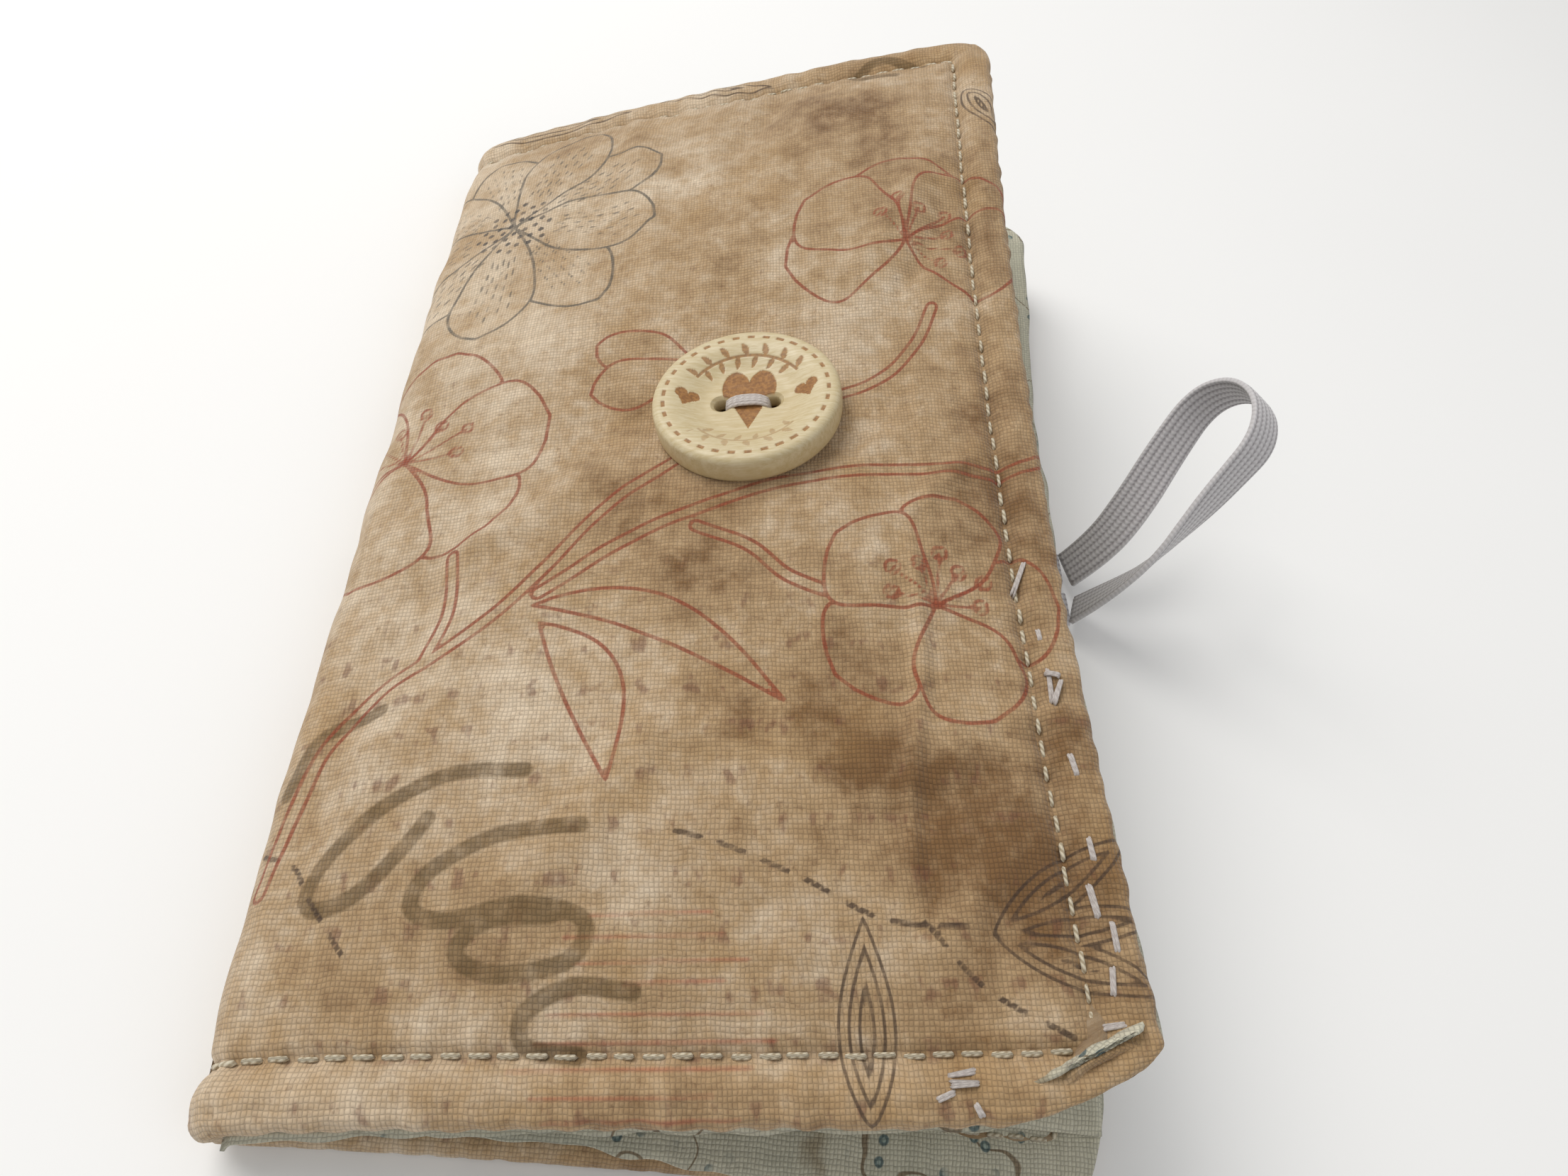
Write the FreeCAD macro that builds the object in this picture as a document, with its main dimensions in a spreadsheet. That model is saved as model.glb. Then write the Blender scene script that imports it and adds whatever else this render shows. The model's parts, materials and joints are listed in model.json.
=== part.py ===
"""Needle case: a padded cloth book, folded once at the spine, with felt leaves, an inside pocket,
a two-hole wooden button on the front cover and an elastic loop on the back cover's free edge.

Frame: the back cover lies flat on z = 0, +X runs from the spine to the free edges, +Y along the spine,
and the origin is under the middle of the box around the covers, spine and button.

Every panel is modelled in its own flat frame: x from its fold line outward, y along the spine and
z from the lining's inner face (0) to the outer cloth's face.  Its Placement then stands it in the book.
"""
import FreeCAD, Part
import math
import os
import re

SIZES = [
    ("cover_length", 136.0, "both covers, along the spine"),
    ("front_width", 75.0, "front cover, fold line to free edge"),
    ("back_width", 80.0, "back cover, fold line to free edge"),
    ("spine_width", 4.5, "spine, lining fold line to lining fold line"),
    ("outer_cloth", 0.4, "printed cotton"),
    ("lining_cloth", 0.4, "lining cotton"),
    ("wadding_height", 2.2, "cotton wadding between the two cloths"),
    ("hem_wall", 0.6, "outer cloth rolled round the wadding's edge"),
    ("corner_radius", 6.0, "free corners of the covers"),
    ("edge_radius", 1.0, "rolled edge of the outer cloth"),
    ("fold_clearance", 0.3, "each panel stops this far from its fold line"),
    ("rest_opening", 17.0, "angle between the covers as stored, degrees"),
    ("stitch_inset", 5.0, "topstitching from the hem"),
    ("stitch_pitch", 2.25, "topstitching, centre to centre"),
    ("stitch_length", 1.75, "one stitch"),
    ("stitch_thickness", 0.45, "sewing thread on the surface"),
    ("repair_thickness", 0.6, "hand-sewn double thread"),
    ("page_length", 112.0, "felt leaf, along the spine"),
    ("page_width", 60.0, "felt leaf, fold line to free edge"),
    ("page_height", 1.0, "wool felt"),
    ("page_corner", 4.0, "felt leaf's free corners"),
    ("page_inset", 1.3, "leaf's fold line from the spine's fold line"),
    ("page_start", 0.9, "leaf's sewn edge from the spine lining"),
    ("pocket_length", 112.0, "pocket patch along the spine"),
    ("pocket_width", 60.0, "pocket patch across the cover"),
    ("pocket_edge_gap", 0.6, "pocket patch inside the topstitching's middle line"),
    ("button_diameter", 20.0, "two-hole wooden button"),
    ("button_height", 3.4, "rim thickness"),
    ("button_round", 0.8, "rounded rim"),
    ("dish_depth", 1.5, "hollow of the button's face"),
    ("dish_slope", 4.0, "radial width of the hollow's sloping wall"),
    ("rim_width", 1.6, "flat rim round the hollow"),
    ("button_hole", 1.8, "hole diameter"),
    ("hole_spacing", 5.3, "hole centre to hole centre"),
    ("button_from_fold", 39.5, "button centre from the front cover's fold line"),
    ("button_along", 0.0, "button centre from mid length"),
    ("button_stand", 2.0, "thread shank, cloth to button"),
    ("thread_thickness", 1.0, "several turns of thread"),
    ("thread_clearance", 0.2, "thread bar above the button's face"),
    ("needle_clearance", 0.05, "thread's hole in the cloth, each side"),
    ("elastic_width", 5.0, "flat ribbed elastic"),
    ("elastic_height", 0.9, "elastic thickness"),
    ("tail_length", 8.0, "elastic sewn into the back cover's seam"),
    ("tail_offset", 3.2, "each elastic end from the loop's middle"),
    ("loop_along", -0.5, "loop's middle from mid length"),
    ("loop_gap", 0.8, "loop's fold line from the back cover's edge"),
    ("loop_angle", 62.0, "loop's rise above the table, degrees"),
]

# Elastic loop's route in its own plane: x out from the seam, y along the spine, far end first.
LOOP_ROUTE = [
    (0.0, 3.2), (5.6, 3.6), (11.6, 6.8), (17.6, 11.4), (23.6, 15.2), (28.4, 13.7), (30.6, 9.0),
    (28.9, 4.1), (23.9, 1.9), (17.9, -0.6), (12.0, -2.9), (6.0, -3.6), (0.0, -3.2),
]

# Hand-sewn mending stitches on the front cover: middle, direction in degrees, length and layer.
# x is from the free edge inward and y from the near edge along the spine; layer 1 crosses over layer 0.
REPAIR_STITCHES = [
    (3.4, 46.9, 62.0, 3.0, 0), (3.4, 46.9, 118.0, 3.0, 1),
    (3.5, 40.7, 95.0, 1.6, 0),
    (3.5, 35.7, 80.0, 3.2, 0), (2.6, 35.1, 125.0, 3.0, 1), (3.1, 33.2, 20.0, 1.6, 0),
    (2.7, 27.7, 102.0, 2.4, 0), (2.6, 20.3, 93.0, 2.4, 0), (3.3, 16.1, 96.0, 3.1, 0),
    (2.1, 12.9, 88.0, 2.4, 0), (3.0, 9.6, 81.0, 2.4, 0), (3.2, 6.7, 5.0, 2.2, 0),
    (15.8, 3.6, 8.0, 2.6, 0), (15.6, 2.7, 8.0, 2.6, 0), (16.9, 1.5, 20.0, 2.0, 0),
]

doc = FreeCAD.newDocument("NeedleCase")
sheet = doc.addObject("Spreadsheet::Sheet", "Sizes")
for row_number, (alias, number, meaning) in enumerate(SIZES, start=1):
    sheet.set(f"A{row_number}", str(number))
    sheet.setAlias(f"A{row_number}", alias)
    sheet.set(f"B{row_number}", meaning)
doc.recompute()


def size(alias):
    """A driving dimension as a plain number, for the pieces that are worked out in Python."""
    return float(sheet.get(alias))


def cells(text):
    """Turn 'front_width - 2 * corner_radius' into an expression on the sheet."""
    aliases = [entry[0] for entry in SIZES]
    return re.sub("[a-z_]+", lambda word: ("Sizes." if word[0] in aliases else "") + word[0], text)


COVER_HEIGHT = "(outer_cloth + wadding_height + lining_cloth)"
HALF_OPENING = "(rest_opening / 2 * 1 deg)"
OPENING = "(rest_opening * 1 deg)"
# x of the back cover's fold line, which puts the middle of the box round the object at x = 0.
FOLD_X = f"((spine_width * sin{HALF_OPENING} + {COVER_HEIGHT} * cos{HALF_OPENING} - back_width) / 2)"
FRONT_FOLD_X = f"({FOLD_X} - spine_width * sin{HALF_OPENING})"
FRONT_FOLD_Z = f"({COVER_HEIGHT} + spine_width * cos{HALF_OPENING})"


def pose(origin_x, origin_z, axis, angle, origin_y="0"):
    """Placement expression: a point in the book's frame and a turn about an axis."""
    x, y, z = (f"({text}) * 1 mm" for text in (origin_x, origin_y, origin_z))
    turn = f"rotation(vector({axis[0]}; {axis[1]}; {axis[2]}); {angle})"
    return cells(f"placement(vector({x}; {y}; {z}); {turn})")


BACK_POSE = pose(FOLD_X, COVER_HEIGHT, (1, 0, 0), "180 deg")
SPINE_POSE = pose(FOLD_X, COVER_HEIGHT, (0, -1, 0), f"90 deg + {HALF_OPENING}")
FRONT_POSE = pose(FRONT_FOLD_X, FRONT_FOLD_Z, (0, -1, 0), OPENING)
LOOP_POSE = pose(f"{FOLD_X} + back_width + loop_gap", "outer_cloth + wadding_height - elastic_height / 2",
                 (0, -1, 0), "loop_angle * 1 deg", origin_y="loop_along")

nodes = []


def node(obj, label, placement):
    """Name a finished piece and stand it in the book."""
    obj.Label = label
    obj.setExpression("Placement", placement)
    nodes.append(obj)
    return obj


def bind(obj, **expressions):
    """Bind properties to the sheet; double underscores stand for dots."""
    for name, text in expressions.items():
        obj.setExpression(name.replace("__", "."), cells(text))


def add_feature(body, kind, name, corner, **lengths):
    """A PartDesign primitive in a body, at a corner or centre given by three expressions."""
    feature = body.newObject("PartDesign::" + kind, name)
    x, y, z = corner
    bind(feature, Placement__Base__x=x, Placement__Base__y=y, Placement__Base__z=z, **lengths)
    doc.recompute()
    return feature


def upright_edges(shape, far_x):
    """Names of the vertical edges at the free side of a slab."""
    names = []
    for index, edge in enumerate(shape.Edges, start=1):
        box = edge.BoundBox
        if box.ZLength > 1e-6 and box.XLength < 1e-6 and box.YLength < 1e-6 and abs(box.XMin - far_x) < 1e-4:
            names.append(f"Edge{index}")
    return names


def top_rim_edges(shape, near_x):
    """Names of the edges round a slab's top face, except the one along the fold line."""
    top = shape.BoundBox.ZMax
    names = []
    for index, edge in enumerate(shape.Edges, start=1):
        box = edge.BoundBox
        flat_on_top = abs(box.ZMin - top) < 1e-5 and abs(box.ZMax - top) < 1e-5
        if flat_on_top and box.XMax > near_x + 1e-4:
            names.append(f"Edge{index}")
    return names


def fillet(body, base, edges, radius, name):
    """Round the named edges of a feature."""
    rounding = body.newObject("PartDesign::Fillet", name)
    rounding.Base = (base, edges)
    bind(rounding, Radius=radius)
    doc.recompute()
    return rounding


def slab(name, start, end, long, low, high, corner=None, rim=None, low_y=None):
    """A flat panel from x = start to end, centred on y unless low_y is given.

    corner rounds its two upright edges at the free side, and rim the edges round its top face."""
    body = doc.addObject("PartDesign::Body", name)
    box = add_feature(body, "AdditiveBox", name + "_block", (start, low_y or f"-({long}) / 2", low),
                      Length=f"({end}) - ({start})", Width=long, Height=f"({high}) - ({low})")
    last = box
    if corner:
        uprights = upright_edges(last.Shape, last.Shape.BoundBox.XMax)
        last = fillet(body, last, uprights, corner, name + "_corners")
    if rim:
        rims = top_rim_edges(last.Shape, last.Shape.BoundBox.XMin)
        fillet(body, last, rims, rim, name + "_rim")
    return body


def drill_thread_holes(body, name):
    """Two needle holes for the button's thread, through the whole panel."""
    for side, sign in (("near", "-"), ("far", "+")):
        add_feature(body, "SubtractiveCylinder", f"{name}_{side}_hole",
                    (f"button_from_fold {sign} hole_spacing / 2", "button_along", "-1"),
                    Radius="thread_thickness / 2 + needle_clearance", Height=f"{COVER_HEIGHT} + 2")


def cut_tail_slots(body, name):
    """Two slots for the elastic's ends, between the lining and the wadding."""
    for side, sign in (("near", "-"), ("far", "+")):
        low_y = f"-loop_along {sign} tail_offset - elastic_width / 2"
        corner = ("back_width - tail_length", low_y, "lining_cloth")
        add_feature(body, "SubtractiveBox", f"{name}_{side}_slot", corner,
                    Length="tail_length + 1", Width="elastic_width", Height="elastic_height")


def panel(prefix, width, placement, corner, extra=None):
    """One padded panel of the case: outer cloth, wadding and lining as three separate pieces."""
    start = "fold_clearance"
    core_end = f"{width} - hem_wall" if corner else f"{width} - fold_clearance"
    end = width if corner else f"{width} - fold_clearance"
    core_corner = "corner_radius - hem_wall" if corner else None
    core_long = "cover_length - 2 * hem_wall"
    core_top = "lining_cloth + wadding_height"

    blank = slab(prefix + "_blank", start, end, "cover_length", "lining_cloth", COVER_HEIGHT,
                 corner, "edge_radius" if corner else None)
    recess = slab(prefix + "_recess", start, core_end, core_long, "lining_cloth", core_top, core_corner)
    wadding = slab(prefix + "_filling", start, core_end, core_long, "lining_cloth", core_top, core_corner)
    lining = slab(prefix + "_inside", start, end, "cover_length", "0", "lining_cloth", corner)
    if extra:
        for body in (blank, wadding, lining) if extra is drill_thread_holes else (blank, wadding):
            extra(body, body.Name)
    outer = doc.addObject("Part::Cut", prefix + "_shell")
    outer.Base = blank
    outer.Tool = recess
    doc.recompute()
    node(outer, prefix + "_outer_fabric", placement)
    node(wadding, prefix + "_wadding", placement)
    node(lining, prefix + "_lining", placement)


def stitch(x, y, z, degrees, length, thickness):
    """One stitch lying on a surface at height z: a short round thread along a direction in the plane."""
    angle = math.radians(degrees)
    along = FreeCAD.Vector(math.cos(angle), math.sin(angle), 0)
    middle = FreeCAD.Vector(x, y, z)
    return Part.makeCylinder(thickness / 2, length, middle - along * (length / 2), along)


def stitch_row(start, end, z):
    """Stitches evenly spaced from start to end, two (x, y) points in the panel's plane."""
    run = math.dist(start, end)
    count = max(1, int(round(run / size("stitch_pitch"))))
    degrees = math.degrees(math.atan2(end[1] - start[1], end[0] - start[0]))
    row = []
    for index in range(count):
        share = (index + 0.5) / count
        x = start[0] + (end[0] - start[0]) * share
        y = start[1] + (end[1] - start[1]) * share
        row.append(stitch(x, y, z, degrees, size("stitch_length"), size("stitch_thickness")))
    return row


def group(name, solids):
    """Separate solids that share one node."""
    feature = doc.addObject("Part::Feature", name)
    feature.Shape = Part.makeCompound(solids)
    return feature


def topstitching(prefix, width, z, placement):
    """The seam round a cover's three hemmed edges, on the face at height z."""
    inset = size("stitch_inset")
    side = size("cover_length") / 2 - inset
    far = size(width) - inset
    near = size("fold_clearance")
    solids = stitch_row((near, -side), (far, -side), z)
    solids += stitch_row((far, -side), (far, side), z)
    solids += stitch_row((far, side), (near, side), z)
    node(group(prefix + "_seam", solids), prefix + "_topstitching", placement)


def cover_height():
    """Thickness of a padded panel."""
    return size("outer_cloth") + size("wadding_height") + size("lining_cloth")


def back_cover():
    """Back cover, its seam and pocket, and the elastic's ends in its edge."""
    panel("back", "back_width", BACK_POSE, "corner_radius", cut_tail_slots)
    topstitching("back", "back_width", -size("stitch_thickness") / 2, BACK_POSE)
    pocket_far = "back_width - stitch_inset - pocket_edge_gap"
    pocket_near = pocket_far + " - pocket_width"
    pocket = slab("pocket_patch", pocket_near, pocket_far, "pocket_length", "-lining_cloth", "0",
                  low_y="cover_length / 2 - stitch_inset - pocket_edge_gap - pocket_length")
    node(pocket, "back_pocket", BACK_POSE)
    tails = []
    for sign in (-1, 1):
        corner_y = -size("loop_along") + sign * size("tail_offset") - size("elastic_width") / 2
        corner = FreeCAD.Vector(size("back_width") - size("tail_length"), corner_y, size("lining_cloth"))
        tails.append(Part.makeBox(size("tail_length"), size("elastic_width"), size("elastic_height"), corner))
    node(group("tails", tails), "elastic_tails", BACK_POSE)


def spine():
    """Spine strip and the row of stitches that holds the felt leaves."""
    panel("spine", "spine_width", SPINE_POSE, None)
    middle = size("spine_width") / 2
    reach = size("page_length") / 2
    height = -size("stitch_thickness") / 2
    seam = stitch_row((middle, -reach), (middle, reach), height)
    node(group("leaf_seam", seam), "page_stitching", SPINE_POSE)


def front_cover():
    """Front cover with its seam and mending stitches."""
    panel("front", "front_width", FRONT_POSE, "corner_radius", drill_thread_holes)
    topstitching("front", "front_width", cover_height() + size("stitch_thickness") / 2, FRONT_POSE)
    thick = size("repair_thickness")
    mending = []
    for inward, along, degrees, length, layer in REPAIR_STITCHES:
        x = size("front_width") - inward
        y = along - size("cover_length") / 2
        height = cover_height() + thick * (0.5 + 1.1 * layer)
        mending.append(stitch(x, y, height, degrees, length, thick))
    node(group("mending", mending), "hand_repair_stitches", FRONT_POSE)


def wooden_button():
    """Dished two-hole button standing on its thread shank."""
    low = f"{COVER_HEIGHT} + button_stand"
    centre = ("button_from_fold", "button_along", low)
    body = doc.addObject("PartDesign::Body", "button_body")
    disc = add_feature(body, "AdditiveCylinder", "disc", centre,
                       Radius="button_diameter / 2", Height="button_height")
    rims = []
    for index, edge in enumerate(disc.Shape.Edges, start=1):
        if edge.BoundBox.ZLength < 1e-6:
            rims.append(f"Edge{index}")
    fillet(body, disc, rims, "button_round", "disc_rim")
    add_feature(body, "SubtractiveCone", "dish",
                ("button_from_fold", "button_along", f"{low} + button_height - dish_depth"),
                Radius1="button_diameter / 2 - rim_width - dish_slope",
                Radius2="button_diameter / 2 - rim_width", Height="dish_depth")
    for side, sign in (("near", "-"), ("far", "+")):
        add_feature(body, "SubtractiveCylinder", f"button_{side}_hole",
                    (f"button_from_fold {sign} hole_spacing / 2", "button_along", f"{low} - 1"),
                    Radius="button_hole / 2", Height="button_height + 2")
    node(body, "button", FRONT_POSE)


def button_thread():
    """Thread through both holes: a closed ring with rounded corners, from the face to the lining."""
    radius = size("thread_thickness") / 2
    bend = 2 * radius
    half = size("hole_spacing") / 2
    button_face = cover_height() + size("button_stand") + size("button_height") - size("dish_depth")
    top = button_face + size("thread_clearance") + radius
    bottom = -size("thread_clearance") - radius
    centre = FreeCAD.Vector(size("button_from_fold"), size("button_along"), 0)

    def point(x, z):
        return centre + FreeCAD.Vector(x, 0, z)

    corners = [(half, top), (half, bottom), (-half, bottom), (-half, top)]
    leave = [(0, -1), (-1, 0), (0, 1), (1, 0)]
    edges = []
    for index, (x, z) in enumerate(corners):
        out_x, out_z = leave[index]
        in_x, in_z = leave[index - 1]
        begin = point(x - in_x * bend, z - in_z * bend)
        finish = point(x + out_x * bend, z + out_z * bend)
        bulge = bend * (1 - math.sqrt(0.5))
        middle = point(x + (out_x - in_x) * bulge, z + (out_z - in_z) * bulge)
        edges.append(Part.Arc(begin, middle, finish).toShape())
        next_x, next_z = corners[(index + 1) % 4]
        edges.append(Part.LineSegment(finish, point(next_x - out_x * bend, next_z - out_z * bend)).toShape())
    path = Part.Wire(edges)
    start = edges[1].Vertexes[0].Point
    section = Part.Wire([Part.makeCircle(radius, start, FreeCAD.Vector(0, 0, -1))])
    feature = doc.addObject("Part::Feature", "thread_ring")
    feature.Shape = path.makePipeShell([section], True, True)
    node(feature, "button_thread", FRONT_POSE)


def felt_leaf(name, label, fold_share, fold_offset, opening_share):
    """A felt leaf whose fold line lies on the spine; it opens by a share of the covers' angle."""
    along = f"(spine_width * {fold_share} + ({fold_offset}))"
    x = f"{FOLD_X} - {along} * sin{HALF_OPENING}"
    z = f"{COVER_HEIGHT} + {along} * cos{HALF_OPENING}"
    leaf = slab(name, "page_start", "page_start + page_width", "page_length",
                "-page_height / 2", "page_height / 2", "page_corner")
    node(leaf, label, pose(x, z, (0, -1, 0), f"{OPENING} * {opening_share}"))


def rounded_route(points):
    """Straight runs joined by tangent arcs; also the arcs' radii and the length."""
    spots = [FreeCAD.Vector(x, y, 0) for x, y in points]
    edges = []
    radii = []
    last = spots[0]
    for before, here, after in zip(spots, spots[1:], spots[2:]):
        back = before - here
        ahead = after - here
        turn = math.pi - back.getAngle(ahead)
        trim = 0.45 * min(back.Length, ahead.Length)
        radii.append(trim / math.tan(turn / 2))
        back.normalize()
        ahead.normalize()
        begin = here + back * trim
        finish = here + ahead * trim
        inward = (back + ahead).normalize()
        to_centre = radii[-1] / math.cos(turn / 2)
        middle = here + inward * (to_centre - radii[-1])
        edges.append(Part.LineSegment(last, begin).toShape())
        edges.append(Part.Arc(begin, middle, finish).toShape())
        last = finish
    edges.append(Part.LineSegment(last, spots[-1]).toShape())
    return Part.Wire(edges), radii


def elastic_loop():
    """The flat elastic, swept along its route in the loop's plane."""
    path, radii = rounded_route(LOOP_ROUTE)
    wide = size("elastic_width")
    high = size("elastic_height")
    start = FreeCAD.Vector(LOOP_ROUTE[0][0], LOOP_ROUTE[0][1], 0)
    heading = path.Edges[0].tangentAt(path.Edges[0].FirstParameter)
    across = FreeCAD.Vector(-heading.y, heading.x, 0) * (wide / 2)
    up = FreeCAD.Vector(0, 0, high / 2)
    outline = [start + across + up, start - across + up, start - across - up, start + across - up]
    section = Part.makePolygon(outline + outline[:1])
    band = path.makePipeShell([section], True, True)
    print("elastic route", round(path.Length, 2), "mm, radii", [round(radius, 1) for radius in radii])
    print("elastic volume", round(band.Volume, 2), "section by length", round(wide * high * path.Length, 2))
    feature = doc.addObject("Part::Feature", "elastic_band")
    feature.Shape = band
    node(feature, "elastic_loop", LOOP_POSE)


def write_nodes():
    """Check every object and write one STEP file per piece."""
    doc.recompute()
    for obj in doc.Objects:
        if "Invalid" in obj.State or "Error" in obj.State:
            raise RuntimeError(f"{obj.Name} failed: {obj.State}")
    for obj in nodes:
        if obj.Shape.isNull() or not obj.Shape.isValid() or not obj.Shape.Solids:
            raise RuntimeError(f"{obj.Label} has no valid solid")
    os.makedirs("parts", exist_ok=True)
    for obj in nodes:
        obj.Shape.exportStep(f"parts/{obj.Label}.step")


back_cover()
spine()
front_cover()
wooden_button()
button_thread()
felt_leaf("lower_leaf", "felt_page_back", "0", "page_inset", "1 / 3")
felt_leaf("upper_leaf", "felt_page_front", "1", "-page_inset", "2 / 3")
elastic_loop()
write_nodes()
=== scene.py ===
import json
import math

import bmesh
import bpy
import numpy as np
from mathutils import Matrix, Vector


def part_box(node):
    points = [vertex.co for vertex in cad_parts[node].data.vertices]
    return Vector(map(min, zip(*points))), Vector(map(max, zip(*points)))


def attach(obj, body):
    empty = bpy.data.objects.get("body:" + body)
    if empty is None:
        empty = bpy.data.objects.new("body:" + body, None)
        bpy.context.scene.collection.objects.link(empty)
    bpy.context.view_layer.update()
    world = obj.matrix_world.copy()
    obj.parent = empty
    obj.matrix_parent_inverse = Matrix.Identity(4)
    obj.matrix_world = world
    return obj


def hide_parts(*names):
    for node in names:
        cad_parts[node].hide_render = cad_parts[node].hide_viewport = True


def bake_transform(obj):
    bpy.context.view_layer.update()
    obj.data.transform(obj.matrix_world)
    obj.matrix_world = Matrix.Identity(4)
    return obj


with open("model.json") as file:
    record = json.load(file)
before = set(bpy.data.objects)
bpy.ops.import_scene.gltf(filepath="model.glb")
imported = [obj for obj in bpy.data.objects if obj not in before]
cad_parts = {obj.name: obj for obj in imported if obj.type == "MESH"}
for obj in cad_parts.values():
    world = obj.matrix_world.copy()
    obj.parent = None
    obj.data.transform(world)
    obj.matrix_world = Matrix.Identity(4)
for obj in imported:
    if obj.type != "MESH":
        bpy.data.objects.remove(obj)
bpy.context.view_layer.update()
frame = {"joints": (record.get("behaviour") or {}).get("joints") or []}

# Padded cloth needle case: two covers folded at the spine, a wooden button and an elastic loop.
# Lengths are in millimetres until a mesh is written.  On a cover, u runs across the cloth from the
# spine to the free edge, v along the spine from the near edge, and h out of the padding.
MM = 0.001
JOINT = {entry["name"]: np.array(entry["pos_m"]) / MM for entry in frame["joints"]}
BACK_FOLD, FRONT_FOLD = JOINT["spine_fold"], JOINT["front_fold"]
OPENING = 2 * math.atan2(BACK_FOLD[0] - FRONT_FOLD[0], FRONT_FOLD[2] - BACK_FOLD[2])
ACROSS = np.array([math.cos(OPENING), 0, math.sin(OPENING)])
ABOVE = np.array([-math.sin(OPENING), 0, math.cos(OPENING)])
NEAR, FAR = (corner[1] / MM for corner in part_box("back_outer_fabric"))
LENGTH = FAR - NEAR

# Where the front cover's outer cloth starts, in x and z, and how far each cover reaches from its fold.
FRONT_START = (FRONT_FOLD[0] - 3.06, FRONT_FOLD[2] + 0.45)
FRONT_SPAN, BACK_SPAN = 75.0, 80.0
CORNER = 6.0  # radius of the covers' free corners
HALF = 1.3  # half of the padding's thickness
LINING = 0.32  # thickness of the lining
WRAP = 6.7  # half of the outer cloth's run round the spine
FRONT_WRAP_END = 2.5  # u where the front cover leaves the spine's curve
STITCH_INSET, STITCH_PITCH = 5.0, 2.25
GRID = 0.4  # widest spacing of the outer cloth's points

# ---------------------------------------------------------------- small tools


def ripple(x, y, wavelength, seed):
    """Smooth seeded waviness of about -1 to 1 with the given wavelength."""
    rng = np.random.default_rng(seed)
    total = 0
    for _ in range(7):
        angle, phase, scale = rng.uniform(0, math.pi), rng.uniform(0, 2 * math.pi), rng.uniform(0.7, 1.5)
        turns = (x * math.cos(angle) + y * math.sin(angle)) * scale / wavelength
        total = total + np.sin(2 * math.pi * turns + phase)
    return total / 3.5


def smooth(x, low, high):
    t = np.clip((x - low) / (high - low), 0, 1)
    return t * t * (3 - 2 * t)


def bump(x, centre, width):
    return np.exp(-(((x - centre) / width) ** 2))


def box_mm(node):
    """The two far corners of a CAD node's box, in millimetres."""
    return [np.array(corner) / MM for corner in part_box(node)]


def linked(name, data):
    """A new object in the scene."""
    made = bpy.data.objects.new(name, data)
    bpy.context.scene.collection.objects.link(made)
    return made


def run_along(line):
    """Distance along a line to each of its points."""
    return np.concatenate([[0], np.cumsum(np.linalg.norm(np.diff(line, axis=0), axis=1))])


def unit(vectors):
    return vectors / np.linalg.norm(vectors, axis=-1, keepdims=True)


def circle(count):
    return np.linspace(0, 2 * math.pi, count, endpoint=False)


def heading(degrees):
    """Unit direction on the cloth, and the direction a quarter turn on from it."""
    turn = math.radians(degrees)
    return np.array([math.cos(turn), math.sin(turn)]), np.array([-math.sin(turn), math.cos(turn)])


def quads(at):
    """Faces between neighbours in a grid of vertex numbers."""
    return np.stack([at[:-1, :-1], at[1:, :-1], at[1:, 1:], at[:-1, 1:]], -1).reshape(-1, 4).tolist()


def grid_faces(rows, columns, first=0):
    return quads(first + np.arange(rows * columns).reshape(rows, columns))


def ring_faces(rows, sides, first=0):
    """Faces of a closed tube made of rings, with its two caps."""
    at = first + np.arange(rows * sides).reshape(rows, sides)
    return quads(np.concatenate([at, at[:, :1]], 1)) + [at[0].tolist()[::-1], at[-1].tolist()]


def zip_faces(a, b):
    """Triangles between two rows of vertex numbers of different length."""
    faces, i, j = [], 0, 0
    while i < len(a) - 1 or j < len(b) - 1:
        if j == len(b) - 1 or (i < len(a) - 1 and (i + 1) / (len(a) - 1) <= (j + 1) / (len(b) - 1)):
            faces.append((a[i], a[i + 1], b[j]))
            i += 1
        else:
            faces.append((a[i], b[j + 1], b[j]))
            j += 1
    return faces


def write_values(mesh, label, values):
    """Named numbers or vectors on a mesh's vertices."""
    values = np.asarray(values, np.float32)
    vector = values.ndim == 2
    layer = mesh.attributes.new(label, "FLOAT_VECTOR" if vector else "FLOAT", "POINT")
    layer.data.foreach_set("vector" if vector else "value", values.ravel())


def mesh_object(name, points, faces, material, **attributes):
    """A smooth mesh piece from points in millimetres, with named values on its vertices."""
    mesh = bpy.data.meshes.new(name)
    mesh.from_pydata((np.asarray(points, float).reshape(-1, 3) * MM).tolist(), [], faces)
    for label, values in attributes.items():
        write_values(mesh, label, values)
    work = bmesh.new()
    work.from_mesh(mesh)
    bmesh.ops.recalc_face_normals(work, faces=work.faces)
    work.to_mesh(mesh)
    work.free()
    mesh.shade_smooth()
    mesh.materials.append(material)
    return linked(name, mesh)


def two_sided(name, top, bottom, u, v, material):
    """A closed sheet between two grids of points, which lie at u and v on the cloth."""
    rows, columns = u.shape
    count = rows * columns
    numbers = np.arange(count).reshape(rows, columns)
    loop = np.concatenate([numbers[:, 0], numbers[-1, 1:], numbers[-2::-1, -1], numbers[0, -2:0:-1]])
    after = np.roll(loop, -1)
    faces = grid_faces(rows, columns) + grid_faces(rows, columns, count)
    faces += np.stack([loop, after, after + count, loop + count], -1).tolist()
    cloth = np.stack([u, v, 0 * u], -1).reshape(-1, 3)
    return mesh_object(name, np.stack([top, bottom]), faces, material, cloth=np.tile(cloth, (2, 1)))


# ---------------------------------------------------------------- the covers' shapes

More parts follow.
